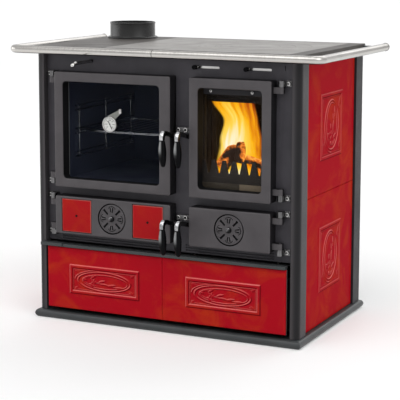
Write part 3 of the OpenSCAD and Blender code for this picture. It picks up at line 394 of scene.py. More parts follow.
def gripFinish():   # black phenolic with a faint moulding swirl, and a painted grey highlight streak on the upper front-left side
    material, tree, bsdf = startFinish("gripBlack", Specular_IOR_Level=0.035)
    flow = useGroup(tree, glazeFlow, Size=30.0)
    streakSide = useGroup(tree, sheenShadeMask, Axis=(0.42, 0.90, 0.1), Band=-0.72, Under=2.0)
    upper = addNode(tree, "Attribute", attribute_name="streakReach").outputs["Fac"]
    base = mixColour(tree, flow["Patches"], (0.0025, 0.0025, 0.003), (0.006, 0.006, 0.007))
    streaked = mixColour(tree, calc(tree, "MULTIPLY", streakSide["Bright"], upper), base, (0.30, 0.305, 0.31))
    feed(tree, bsdf.inputs, Base_Color=streaked, Roughness=wipedRoughness(tree, (0.10, 0.2), 60.0))
    return material


def ropeFinish():   # braided glass-fibre seal
    material, tree, bsdf = startFinish("ropeSeal", Roughness=0.95)
    slant = addNode(tree, "Mapping", {"Vector": objectPlace(tree), "Rotation": (0, radians(38), 0)}).outputs[0]
    wave = {"Vector": slant, "Scale": 95.0, "Distortion": 1.5, "Detail": 1.0}
    braid = addNode(tree, "TexWave", wave).outputs["Fac"]
    feed(tree, bsdf.inputs, Base_Color=mixColour(tree, braid, (0.10, 0.095, 0.085), (0.34, 0.33, 0.30)))
    addBump(tree, bsdf, braid, 0.0012)
    return material


def glassFinish(name, tint, alpha, level):
    material, tree, bsdf = startFinish(name, Base_Color=tint, Alpha=alpha, Specular_IOR_Level=level)
    feed(tree, bsdf.inputs, Roughness=wipedRoughness(tree, (0.01, 0.05), 6.0))
    return material


def dialFinish(name, low, high, rough):
    material, tree, bsdf = startFinish(name)
    flow = useGroup(tree, glazeFlow, Size=90.0)
    feed(tree, bsdf.inputs, Base_Color=mixColour(tree, flow["Patches"], low, high),
         Roughness=wipedRoughness(tree, rough, 80.0))
    return material


gripBlack = gripFinish()
ropeSeal = ropeFinish()
ovenGlass = glassFinish("ovenGlass", (0.0035, 0.0048, 0.0095), 0.22, 0.09)
fireGlass = glassFinish("fireGlass", (0.02, 0.015, 0.01), 0.08, 0.08)
dialWhite = dialFinish("dialWhite", (0.62, 0.62, 0.60), (0.74, 0.74, 0.72), (0.25, 0.4))
dialInk = dialFinish("dialInk", (0.012, 0.012, 0.012), (0.022, 0.022, 0.022), (0.3, 0.5))
brickBeige = dialFinish("brickBeige", (0.20, 0.155, 0.105), (0.27, 0.215, 0.15), (0.8, 0.95))
brickBrown = dialFinish("brickBrown", (0.040, 0.032, 0.022), (0.060, 0.048, 0.034), (0.8, 0.95))
print("range cooker: finishes ready")


# shared modelling
def finishPiece(name, bm, materials, body, replaced=(), sharpAngle=32):
    mesh = bpy.data.meshes.new(name)
    bm.to_mesh(mesh)
    bm.free()
    for material in materials:
        mesh.materials.append(material)
    mesh.shade_smooth()
    mesh.set_sharp_from_angle(angle=radians(sharpAngle))
    piece = newObject(name, mesh)
    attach(piece, body)
    if replaced:
        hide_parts(*replaced)
    return piece


def trianglesMatch(bm):   # False where a face with a hole in it would be filled wrongly
    filled = {}
    for a, b, c in bm.calc_loop_triangles():
        area = (b.vert.co - a.vert.co).cross(c.vert.co - a.vert.co).length / 2
        filled[a.face] = filled.get(a.face, 0.0) + area
    return all(abs(area - face.calc_area()) < 1e-8 + area * 1e-3 for face, area in filled.items())


def copyNode(node, cuts=()):   # the CAD solid as clean faces, kept apart at the cuts given as (axis, place)
    bm = bmesh.new()
    bm.from_mesh(cadNodes[node].data)
    bmesh.ops.remove_doubles(bm, verts=bm.verts, dist=0.000004)
    for axis, place in cuts:
        normal = Vector([float(axis == k) for k in range(3)])
        bmesh.ops.bisect_plane(bm, geom=bm.verts[:] + bm.edges[:] + bm.faces[:], dist=0.000002,
                               plane_co=normal * place, plane_no=normal)
    for face in bm.faces:
        middle = face.calc_center_median()
        face.material_index = sum(2 ** k for k, (axis, place) in enumerate(cuts) if middle[axis] > place)
    whole = bm.copy()
    bmesh.ops.dissolve_limit(bm, angle_limit=radians(0.6), use_dissolve_boundaries=False,
                             verts=bm.verts, edges=bm.edges, delimit={"NORMAL", "MATERIAL"})
    if not trianglesMatch(bm):
        print("range cooker:", node, "keeps its triangles")
        bm.free()
        bm = whole
    else:
        whole.free()
    for face in bm.faces:
        face.material_index = 0
    return bm


def bevelEdges(bm, edges, width, segments=3):
    bmesh.ops.bevel(bm, geom=list(edges), offset=width, offset_type="OFFSET", segments=segments, profile=0.5,
                    affect="EDGES", material=-1, clamp_overlap=False, loop_slide=True)


def vertsOf(made):
    return [g for g in made["geom"] if isinstance(g, bmesh.types.BMVert)]


def addBlock(bm, centre, size, edge=0.0, segments=2, slot=0):
    verts = bmesh.ops.create_cube(bm, size=1.0)["verts"]
    bmesh.ops.scale(bm, verts=verts, vec=size)
    bmesh.ops.translate(bm, verts=verts, vec=centre)
    for face in {f for v in verts for f in v.link_faces}:
        face.material_index = slot
    if edge:
        bevelEdges(bm, {e for v in verts for e in v.link_edges}, edge, segments)
    return verts


def spinProfile(bm, points, centre, axis, steps, closed=False):
    verts = [bm.verts.new(point) for point in points]
    ends = verts[1:] + verts[:1] if closed else verts[1:]
    edges = [bm.edges.new(pair) for pair in zip(verts, ends)]
    bmesh.ops.spin(bm, geom=verts + edges, cent=centre, axis=axis, angle=2 * pi, steps=steps, use_merge=True)
    bmesh.ops.remove_doubles(bm, verts=bm.verts, dist=0.00001)


def softenPiece(piece, width, segments=2):
    bevel = piece.modifiers.new("softEdges", "BEVEL")
    bevel.width, bevel.segments, bevel.limit_method, bevel.angle_limit = width, segments, "ANGLE", radians(40)
    bevel.use_clamp_overlap = False
    bevel.harden_normals = True
    return piece


def bodyOf(node):
    return cadNodes[node]["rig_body"]


def dressNode(node, material, width=0.001, segments=2, cuts=()):   # same solid with softened edges
    piece = finishPiece(node + "_soft", copyNode(node, cuts), [material], bodyOf(node), [node])
    if width:
        softenPiece(piece, width, segments)
    return piece


def keepNode(node, material):   # CAD solid as it is, with its finish
    mesh = cadNodes[node].data
    mesh.materials.clear()
    mesh.materials.append(material)


def addTo(bm, part):
    mesh = bpy.data.meshes.new("part")
    part.to_mesh(mesh)
    part.free()
    bm.from_mesh(mesh)
    bpy.data.meshes.remove(mesh)


def addDisc(bm, centre, axis, radius, depth, segments=32, edge=0.0, slot=0):
    turn = Vector(axis).to_track_quat("Z", "Y").to_matrix().to_4x4()
    place = Matrix.Translation(Vector(centre) + Vector(axis).normalized() * depth / 2)
    made = bmesh.ops.create_cone(bm, cap_ends=True, segments=segments, radius1=radius, radius2=radius, depth=depth,
                                 matrix=place @ turn)
    faces = {f for v in made["verts"] for f in v.link_faces}
    for face in faces:
        face.material_index = slot
    if edge:
        top = max(faces, key=lambda f: f.calc_center_median().dot(Vector(axis)))
        bmesh.ops.bevel(bm, geom=list(top.edges), offset=edge, offset_type="OFFSET", segments=2, profile=0.5,
                        affect="EDGES", material=-1, clamp_overlap=True)


def addSocketBolt(bm, centre, axis, radius, height, socket=0.60, slot=0, shadeSlot=1):
    ahead = Vector(axis).normalized()
    addDisc(bm, centre, axis, radius, height, 28, radius * 0.16, slot)
    tip = Vector(centre) + ahead * height
    face = min((f for f in bm.faces if f.normal.dot(ahead) > 0.99), key=lambda f: (f.calc_center_median() - tip).length)
    bmesh.ops.inset_region(bm, faces=[face], thickness=radius * (0.84 - socket), depth=0)
    sunk = bmesh.ops.extrude_face_region(bm, geom=[face])
    bmesh.ops.translate(bm, verts=vertsOf(sunk), vec=-ahead * height * 0.7)
    # painted shade: the sunk socket and its walls are black
    for f in [g for g in sunk["geom"] if isinstance(g, bmesh.types.BMFace)]:
        f.material_index = shadeSlot
        for e in f.edges:
            for side in e.link_faces:
                side.material_index = shadeSlot
    if face.is_valid:
        bmesh.ops.delete(bm, geom=[face], context="FACES_ONLY")


# cabinet
cabinetLook = {
    "postEdge": 0.0012, "plateEdge": 0.0016, "facadeEdge": 0.0010, "topEdge": 0.0020, "hobEdge": 0.0007,
    "ringEdge": 0.0013, "bracketEdge": 0.0010, "drawerEdge": 0.0004,
    "facadeCuts": (-0.254, -0.1635, 0.129, 0.2235, 0.293), "topCuts": (-0.338, 0.0935),   # through round openings
}


def buildCabinet(look):
    for node in ("post_front_left", "post_front_right", "post_rear_left", "post_rear_right"):
        low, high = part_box(node)
        paint = postPaint if "front" in node else ironPaint
        dressNode(node, paint, look["postEdge"], cuts=[(0, (low.x + high.x) / 2)])
    dressNode("plinth", trimPaint, look["plateEdge"])
    dressNode("facade", platePaint, look["facadeEdge"], cuts=[(0, x) for x in look["facadeCuts"]])
    dressNode("top_frame", topIron, look["topEdge"], 3, cuts=[(0, x) for x in look["topCuts"]])
    dressNode("cooking_plate", groundIron, look["hobEdge"])
    for node in ("ring_outer", "ring_inner", "hob_lid"):
        dressNode(node, groundIron, look["ringEdge"])
    for node in ("side_panel_left", "side_panel_right", "back_panel", "middle_shelf", "drawer_runners"):
        keepNode(node, sheetPaint)
    dressNode("rail_brackets", trimPaint, look["bracketEdge"])
    dressNode("drawer_box", trimPaint, look["drawerEdge"], cuts=[(0, 0.0)])


collarLook = {"inner": 0.0705, "outer": 0.0740, "flangeTop": 0.006, "steps": 96}


def buildCollar(look):
    low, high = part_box("flue_collar")
    centre = (low + high) / 2
    inner, outer, flange = look["inner"], look["outer"], (high.x - low.x) / 2
    height, flangeTop = high.z - low.z, look["flangeTop"]
    profile = [(inner, 0), (flange, 0), (flange, flangeTop * 0.7), (flange - 0.0018, flangeTop),
               (outer + 0.0030, flangeTop), (outer + 0.0008, flangeTop + 0.0010), (outer, flangeTop + 0.0032),
               (outer, height - 0.0065), (outer + 0.0009, height - 0.0055), (outer + 0.0009, height - 0.0016),
               (outer - 0.0002, height), (inner + 0.0008, height), (inner, height - 0.0012)]
    bm = bmesh.new()
    points = [(centre.x + r, centre.y, low.z + z) for r, z in profile]
    spinProfile(bm, points, (centre.x, centre.y, 0), (0, 0, 1), look["steps"], closed=True)
    bmesh.ops.recalc_face_normals(bm, faces=bm.faces)
    finishPiece("flue_collar_turned", bm, [collarIron], "cabinet", ["flue_collar"])


railLook = {"edge": 0.0008, "tube": 0.012, "seamRadius": 0.01215, "seamAt": -0.0158, "seamWidth": 0.0016,
            "capRadius": 0.0122, "capWidth": 0.0014, "capDepth": 0.0078}


def buildRail(look):
    for node in ("rail_front", "rail_left", "rail_right"):
        dressNode(node, railSteel, look["edge"])
    bm = bmesh.new()
    low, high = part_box("rail_front")
    y, z = low.y + look["tube"], (low.z + high.z) / 2
    place = Matrix.Translation((look["seamAt"] - look["seamWidth"] / 2, y, z))
    bmesh.ops.create_circle(bm, segments=64, radius=look["seamRadius"], cap_ends=False,
                            matrix=place @ Matrix.Rotation(pi / 2, 4, "Y"))
    made = bmesh.ops.extrude_edge_only(bm, edges=bm.edges[:])
    bmesh.ops.translate(bm, verts=vertsOf(made), vec=(look["seamWidth"], 0, 0))
    bmesh.ops.recalc_face_normals(bm, faces=bm.faces)
    finishPiece("rail_seam", bm, [darkPartsAndShade], "cabinet")
    bm = bmesh.new()   # dark joint between each end cap and its tube
    for side in (-1, 1):
        lowEnd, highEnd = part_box("rail_left" if side < 0 else "rail_right")
        x = (lowEnd.x + highEnd.x) / 2
        place = Matrix.Translation((x, highEnd.y - look["capDepth"], z))
        bmesh.ops.create_cone(bm, cap_ends=False, segments=64, radius1=look["capRadius"], radius2=look["capRadius"],
                              depth=look["capWidth"], matrix=place @ Matrix.Rotation(pi / 2, 4, "X"))
    finishPiece("rail_cap_joints", bm, [darkPartsAndShade], "cabinet")


buildCabinet(cabinetLook)
buildCollar(collarLook)
buildRail(railLook)
print("range cooker: cabinet, hob and rail built")


# moulded tiles
tileLook = {
    "fineStep": 0.0014, "rimRows": (0.0, 0.0005, 0.0013, 0.0026), "rimDrop": (0.0019, 0.0010, 0.0003, 0.0),
    "frameHeight": 0.0030, "innerHeight": 0.0018, "ovalHeight": 0.0026, "barWidth": 0.0095, "shadeShift": 0.0020,
    "thickness": 0.009, "seam": 0.0005, "sideSeam": 0.0008, "drawerMoulding": (0.2419, 0.0921), "sideMoulding": 0.1854,
}
leaves = (   # root, tip and width, in shares of the oval's half width and half height
    ((-0.22, -0.10), (0.06, 0.16), 0.26), ((-0.20, -0.22), (0.26, -0.34), 0.20), ((-0.52, 0.22), (-0.30, 0.62), 0.26),
    ((-0.56, -0.28), (-0.40, -0.66), 0.26), ((-0.66, 0.02), (-0.84, 0.20), 0.22), ((0.10, -0.42), (0.46, -0.18), 0.24),
    ((0.40, -0.50), (0.74, -0.42), 0.22))


def ridge(distance, halfWidth, height):
    return height * 0.5 * (1 + cos(pi * distance / halfWidth)) if abs(distance) < halfWidth else 0.0


def ovalDistance(u, v, a, b):
    f = (u / a) ** 2 + (v / b) ** 2 - 1
    slope = hypot(2 * u / a ** 2, 2 * v / b ** 2)
    return f / slope if slope > 1e-6 else -b


def leafHeight(u, v, root, tip, width, height):
    along = Vector(tip) - Vector(root)
    offset = Vector((u, v)) - Vector(root)
    t = offset.dot(along) / along.length_squared
    if not 0 < t < 1:
        return 0.0
    across = abs(offset.x * along.y - offset.y * along.x) / along.length
    half = width / 2 * sin(pi * t ** 0.8)
    if across >= half:
        return 0.0
    vein = 0.35 * max(0.0, 1 - across / (0.22 * width))
    return height * (sqrt(max(0.0, 1 - (across / half) ** 2)) - vein)


def blossomHeight(u, v, centre, radius, height):
    x, y = u - centre[0], v - centre[1]
    r, turn = hypot(x, y), atan2(y, x)
    edge = radius * (0.78 + 0.22 * cos(5 * turn))
    if r >= edge:
        return 0.0
    bud = ridge(r, radius * 0.26, height * 0.9)
    petals = 0.55 + 0.45 * abs(cos(2.5 * turn))
    return max(bud, height * 0.75 * sqrt(max(0.0, 1 - (r / edge) ** 2)) * petals)


def stepUp(distance, width):   # 0 to 1 across a soft edge
    t = min(1.0, max(0.0, distance / width))
    return t * t * (3 - 2 * t)


def tileRelief(u, v, w, h, look):   # w runs along the oval, all in metres from the tile's middle
    inside = min(w / 2 - abs(u), h / 2 - abs(v))
    bar = look["barWidth"]
    height = look["frameHeight"] * (stepUp(inside, 0.0026) - 0.85 * stepUp(inside - bar, 0.0030))
    if inside < bar:
        return height
    panel = min(w / 2 - bar * 1.6 - abs(u), h / 2 - bar * 1.6 - abs(v))
    height = max(height, ridge(panel, 0.0016, look["innerHeight"]))
    if panel < 0:
        return height
    a, b = w * 0.375, h * 0.315
    around = atan2(v / b, u / a)
    thick = 0.0028 + 0.0022 * (0.5 + 0.5 * sin(around * 2 + 0.9))
    height = max(height, ridge(ovalDistance(u, v, a, b), thick, look["ovalHeight"]))
    second = ovalDistance(u - a * 0.03, v + b * 0.03, a * 0.86, b * 0.74)
    height = max(height, ridge(second, 0.0025, look["ovalHeight"] * 0.85))
    if u < -a * 0.1:
        fade = min(1, (-u / a - 0.1) * 3)
        third = ovalDistance(u + a * 0.06, v, a * 0.72, b * 0.54)
        height = max(height, ridge(third, 0.0024, look["ovalHeight"] * 0.75 * fade))
        outside = ovalDistance(u + a * 0.02, v - b * 0.05, a * 1.09, b * 1.10)
        height = max(height, ridge(outside, 0.0026, look["ovalHeight"] * 0.9 * fade if v > 0 else 0))
    for su, sv, size in ((-1, 1, 0.17), (1, -1, 0.15), (1, 1, 0.10), (-1, -1, 0.10)):   # corner leaves
        root = (su * (w / 2 - bar * 1.9), sv * (h / 2 - bar * 1.9))
        for turn in (0.15, 0.55):
            tip = (root[0] - su * h * size * 1.5 * cos(turn), root[1] - sv * h * size * 1.2 * sin(turn))
            height = max(height, leafHeight(u, v, root, tip, h * 0.055, look["innerHeight"]))
    if ovalDistance(u, v, a * 0.92, b * 0.9) < 0:
        height = max(height, blossomHeight(u, v, (-a * 0.40, -b * 0.05), b * 0.40, look["ovalHeight"]))
        for root, tip, width in leaves:
            ends = ((root[0] * a, root[1] * b), (tip[0] * a, tip[1] * b))
            height = max(height, leafHeight(u, v, *ends, width * b, look["ovalHeight"]))
        stem = abs(v + b * (0.30 + 0.16 * sin(u / a * 3.0)))
        if -0.4 * a < u < 0.7 * a:
            height = max(height, ridge(stem, 0.0023, look["ovalHeight"] * 0.8))
    return height


def spread(size, fine, look):   # grid lines: three rim rows, a wide margin and fine lines over the moulding
    half, inner = size / 2, fine / 2
    count = int(fine / look["fineStep"])
    edge = [-half + d for d in look["rimRows"]]
    margin = [edge[-1] + (-(inner) - edge[-1]) * k / 6 for k in range(1, 6)]
    middle = [-inner + fine * k / count for k in range(count + 1)]
    left = edge + margin
    return left + middle + [-x for x in reversed(left)]


def addTile(bm, width, height, thickness, reliefWide, reliefHigh, look, place, upright=False):
    us, vs = spread(width, reliefWide + 0.006, look), spread(height, reliefHigh + 0.006, look)
    embossLightShade = bm.verts.layers.float.get("embossLightShade") or bm.verts.layers.float.new("embossLightShade")
    made = bmesh.ops.create_grid(bm, x_segments=len(us) - 1, y_segments=len(vs) - 1, size=1.0)
    drops = dict(zip([round(d, 6) for d in look["rimRows"]], look["rimDrop"]))
    shift = look["shadeShift"]
    for vert in made["verts"]:
        u = us[round((vert.co.x + 1) / 2 * (len(us) - 1))]
        v = vs[round((vert.co.y + 1) / 2 * (len(vs) - 1))]
        spots = ((u, v), (u - shift, v + shift))
        if upright:
            rise, before = (tileRelief(b, -a, reliefHigh, reliefWide, look) for a, b in spots)
        else:
            rise, before = (tileRelief(a, b, reliefWide, reliefHigh, look) for a, b in spots)
        rim = min(width / 2 - abs(u), height / 2 - abs(v))
        slope = (rise - before) / look["frameHeight"]   # painted highlight on slopes turned to the light, painted shade on slopes turned away
        # the side tiles' frames keep less painted highlight
        if upright and max(abs(u) / reliefWide, abs(v) / reliefHigh) > 0.42:
            slope = min(slope, 0.0) + max(slope, 0.0) * 0.35
        vert[embossLightShade] = slope * 1.25 + 0.07 * rise / look["frameHeight"]
        vert.co = (u, v, rise - drops.get(round(rim, 6), 0.0))
    faces = {f for v in made["verts"] for f in v.link_faces}
    rimEdges = [e for e in {e for f in faces for e in f.edges} if len(e.link_faces) == 1]
    wall = bmesh.ops.extrude_edge_only(bm, edges=rimEdges)
    backVerts = vertsOf(wall)
    for vert in backVerts:
        vert.co.z = -thickness
        vert[embossLightShade] = 0.0
    backEdges = [g for g in wall["geom"] if isinstance(g, bmesh.types.BMEdge) and len(g.link_faces) == 1]
    bmesh.ops.contextual_create(bm, geom=backEdges)
    bmesh.ops.transform(bm, matrix=place, verts=made["verts"] + backVerts)


def buildTiles(look):
    low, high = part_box("drawer_tiles")
    seam, sideSeam = look["seam"], look["sideSeam"]
    wide = (high.x - low.x) / 2 - seam / 2
    bm = bmesh.new()
    for side in (-1, 1):
        centre = Vector((side * (wide + seam) / 2, low.y + look["frameHeight"], (low.z + high.z) / 2))
        place = Matrix.Translation(centre) @ Matrix.Rotation(pi / 2, 4, "X")
        addTile(bm, wide, high.z - low.z, look["thickness"], *look["drawerMoulding"], look, place)
    bmesh.ops.recalc_face_normals(bm, faces=bm.faces)
    finishPiece("drawer_tiles_moulded", bm, [tileGlaze], "wood_drawer", ["drawer_tiles"], 60)
    for side, node in ((-1, "side_tiles_left"), (1, "side_tiles_right")):
        low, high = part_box(node)
        tall = (high.z - low.z - sideSeam) / 2
        bm = bmesh.new()
        for row in (0, 1):
            face = high.x - look["frameHeight"] if side > 0 else low.x + look["frameHeight"]
            centre = Vector((face, (low.y + high.y) / 2, low.z + tall / 2 + row * (tall + sideSeam)))
            turn = Matrix(((0, 0, side, 0), (side, 0, 0, 0), (0, 1, 0, 0), (0, 0, 0, 1)))
            addTile(bm, high.y - low.y, tall, look["thickness"], look["sideMoulding"], tall * 0.5, look,
                    Matrix.Translation(centre) @ turn, upright=True)
        bmesh.ops.recalc_face_normals(bm, faces=bm.faces)
        finishPiece(node + "_moulded", bm, [tileGlaze], "cabinet", [node], 60)


def buildSmallTiles():
    low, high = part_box("tile_door_tiles")
    size = high.z - low.z
    shown = size - 0.0022   # a dark gap is left round each tile
    bm = bmesh.new()
    embossLightShade = bm.verts.layers.float.new("embossLightShade")
    for x0 in (low.x, high.x - size):
        centre = Vector((x0 + size / 2, high.y - 0.003, (low.z + high.z) / 2))
        verts = addBlock(bm, centre, (shown, 0.006, shown))
        front = {e for v in verts for e in v.link_edges if all(w.co.y < centre.y for w in e.verts)}
        bevelEdges(bm, front, 0.0024, 3)
    # painted highlight on the tiles' bevelled rims
    for v in bm.verts:
        if abs(v.co.y - high.y) > 0.001 and v.co.y > high.y - 0.0058:
            v[embossLightShade] = 0.75
    for x0 in (low.x, high.x - size):
        screw = (x0 + size / 2, high.y - 0.0058, (low.z + high.z) / 2)
        addDisc(bm, screw, (0, -1, 0), 0.0036, 0.0012, 24, 0.0005, 1)
    finishPiece("tile_door_tiles_glazed", bm, [smallGlaze, darkPartsAndShade], "tile_door",
                ["tile_door_tiles"], 40)


buildTiles(tileLook)
buildSmallTiles()
print("range cooker: tiles moulded")


# doors
doorLook = {"outerEdge": 0.0042, "windowEdge": 0.0030, "seatEdge": 0.0009, "blackFrom": 0.0024, "rimBand": 0.006,
            "windowMargin": 0.004, "rosetteSeat": 0.0485}


def buildDoor(node, look, cuts, window=None, rosette=None):
    bm = copyNode(node, [(0, x) for x in cuts])
    places = sorted({round(v.co.y, 5) for v in bm.verts})
    front = min(y for y in places if sum(1 for v in bm.verts if abs(v.co.y - y) < 1e-5) > 12)
    rim = [e for e in bm.edges if all(abs(v.co.y - front) < 2e-5 for v in e.verts) and len(e.link_faces) == 2
           and any(abs(f.normal.y) < 0.3 for f in e.link_faces) and any(f.normal.y < -0.9 for f in e.link_faces)]
    xs, zs = [v.co.x for e in rim for v in e.verts], [v.co.z for e in rim for v in e.verts]
    band, margin = look["rimBand"], look["windowMargin"]
    outer = [e for e in rim if any(min(v.co.x - min(xs), max(xs) - v.co.x, v.co.z - min(zs), max(zs) - v.co.z) < band
                                   for v in e.verts)]
    inner = [e for e in rim if e not in set(outer)]
    bevelEdges(bm, inner, look["windowEdge"] if window else look["seatEdge"], 3)
    bevelEdges(bm, [e for e in outer if e.is_valid], look["outerEdge"], 4)
    for f in bm.faces:   # painted shade: the window's inner walls and the rosette's seat are black, and the outer side walls dark
        c = f.calc_center_median()
        atWindow = window and all(window[0][k] - margin < c[k] < window[1][k] + margin for k in (0, 2))
        if atWindow and c.y > front + look["blackFrom"]:
            f.material_index = 1
        if rosette and hypot(c.x - rosette[0], c.z - rosette[1]) < look["rosetteSeat"] and c.y > front + 0.0008:
            f.material_index = 1
        atSide = abs(f.normal.y) < 0.45 and c.y > front + look["outerEdge"] * 0.55
        if atSide and f.material_index == 0 and not atWindow:
            f.material_index = 2
    return finishPiece(node + "_cast", bm, [doorPaint, darkPartsAndShade, doorSideShade], bodyOf(node), [node], 28)


rosetteLook = {"radius": 0.0438, "slotFrom": 0.0185, "slotTo": 0.0385, "slotHalf": 0.0027, "petalAt": 0.0272,
               "petalHalf": 0.0098, "knob": 0.0072, "rows": 46, "plateAt": 0.0090, "thickness": 0.0046}


def rosetteRise(r, turn, look):   # height over the disc, in metres
    across = r * sin(turn % (pi / 2) - pi / 4)
    if look["slotFrom"] < r < look["slotTo"] and abs(across) < look["slotHalf"]:
        return -0.0036
    petalTurn = (turn + pi / 4) % (pi / 2) - pi / 4
    along, side = r * cos(petalTurn) - look["petalAt"], r * sin(petalTurn)
    half = look["petalHalf"]
    spot = (along / half) ** 2 + (side / (half * (1.0 + 0.35 * along / half))) ** 2
    if spot < 1:
        rise = 0.0016 * sqrt(1 - spot)
        for stroke in (-1, 1):
            if abs(along) < half * 0.70 and abs(side - stroke * half * (0.34 + 0.16 * along / half)) < 0.0013:
                rise = -0.0012
        return rise
    if spot < 1.30 and along > half * 0.25:
        return -0.0012
    ring = 0.0006 if r > 0.0405 else -0.0003
    return ring - ridge(r - 0.0395, 0.0009, 0.0007)


def buildRosette(node, body, look):
    low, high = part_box(node)
    x, z, plate = (low.x + high.x) / 2, (low.z + high.z) / 2, low.y + look["plateAt"]
    radius, count, start, rear = look["radius"], look["rows"], look["knob"] * 0.9, plate + look["thickness"]
    points = [(x + start + (radius - 0.0008 - start) * k / count, plate, z) for k in range(count + 1)]
    points += [(x + radius, plate + 0.0008, z), (x + radius, rear, z), (x, rear, z)]
    bm = bmesh.new()
    spinProfile(bm, points, (x, 0, z), (0, 1, 0), 192)
    for v in bm.verts:
        r = hypot(v.co.x - x, v.co.z - z)
        if abs(v.co.y - plate) < 1e-6 and look["knob"] < r < radius - 0.0012:
            v.co.y -= rosetteRise(r, atan2(v.co.z - z, v.co.x - x), look)
    # painted shade: the sunk slots, strokes and grooves are black
    for f in bm.faces:
        c = f.calc_center_median()
        sunk = sum(v.co.y > plate + 0.0010 for v in f.verts) >= 2
        if sunk and hypot(c.x - x, c.z - z) < radius - 0.0015 and c.y < plate + 0.0040:
            f.material_index = 1
    knob = bmesh.new()
    neck = look["knob"]
    profile = [(0.0, -0.0088), (0.0038, -0.0088), (0.0066, -0.0080), (0.0082, -0.0062), (neck, -0.0040),
               (neck * 0.94, -0.0003), (neck * 1.22, -0.0002), (neck * 1.24, 0.0006)]
    spinProfile(knob, [(x + r, plate + y, z) for r, y in profile], (x, 0, z), (0, 1, 0), 48)
    # painted shade: a black ring round the knob's base; the knob itself gets painted highlight and shade
    for f in knob.faces:
        c = f.calc_center_median()
        f.material_index = 1 if hypot(c.x - x, c.z - z) > neck * 0.97 and c.y > plate - 0.002 else 2
    addTo(bm, knob)
    bmesh.ops.recalc_face_normals(bm, faces=bm.faces)
    finishPiece(node + "_cast", bm, [doorPaint, darkPartsAndShade, knobIron], body, [node], 40)


def buildDoors(look):
    low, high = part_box("tile_door_rosette")
    ovenMid = (low.x + high.x) / 2
    rosetteZ = (low.z + high.z) / 2
    low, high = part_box("ash_door_rosette")
    fireMid = (low.x + high.x) / 2
    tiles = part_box("tile_door_tiles")
    half = (tiles[1].z - tiles[0].z) / 2
    buildDoor("oven_door_frame", look, [ovenMid - 0.004], window=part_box("oven_door_glass"))
    buildDoor("fire_door_frame", look, [fireMid - 0.001], window=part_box("fire_door_glass"))
    tileCuts = [tiles[0].x + half, ovenMid, tiles[1].x - half]
    buildDoor("tile_door_frame", look, tileCuts, rosette=(ovenMid, rosetteZ))
    buildDoor("ash_door_frame", look, [fireMid], rosette=(fireMid, rosetteZ))
    buildRosette("tile_door_rosette", "tile_rosette", rosetteLook)
    buildRosette("ash_door_rosette", "ash_rosette", rosetteLook)
    keepNode("oven_door_glass", ovenGlass)
    keepNode("fire_door_glass", fireGlass)
    keepNode("door_seals", ropeSeal)
    dressNode("fire_glass_retainer", ironPaint, 0.0007, cuts=[(0, 0.151), (0, 0.282)])


thermometerLook = {"ticks": 31, "tickSweep": 9, "tickReach": 0.0192, "numbers": ("50", "100", "150", "200", "250", "300", "350"),
                   "numberSize": 0.0048, "numberRadius": 0.0118, "startAngle": 225}


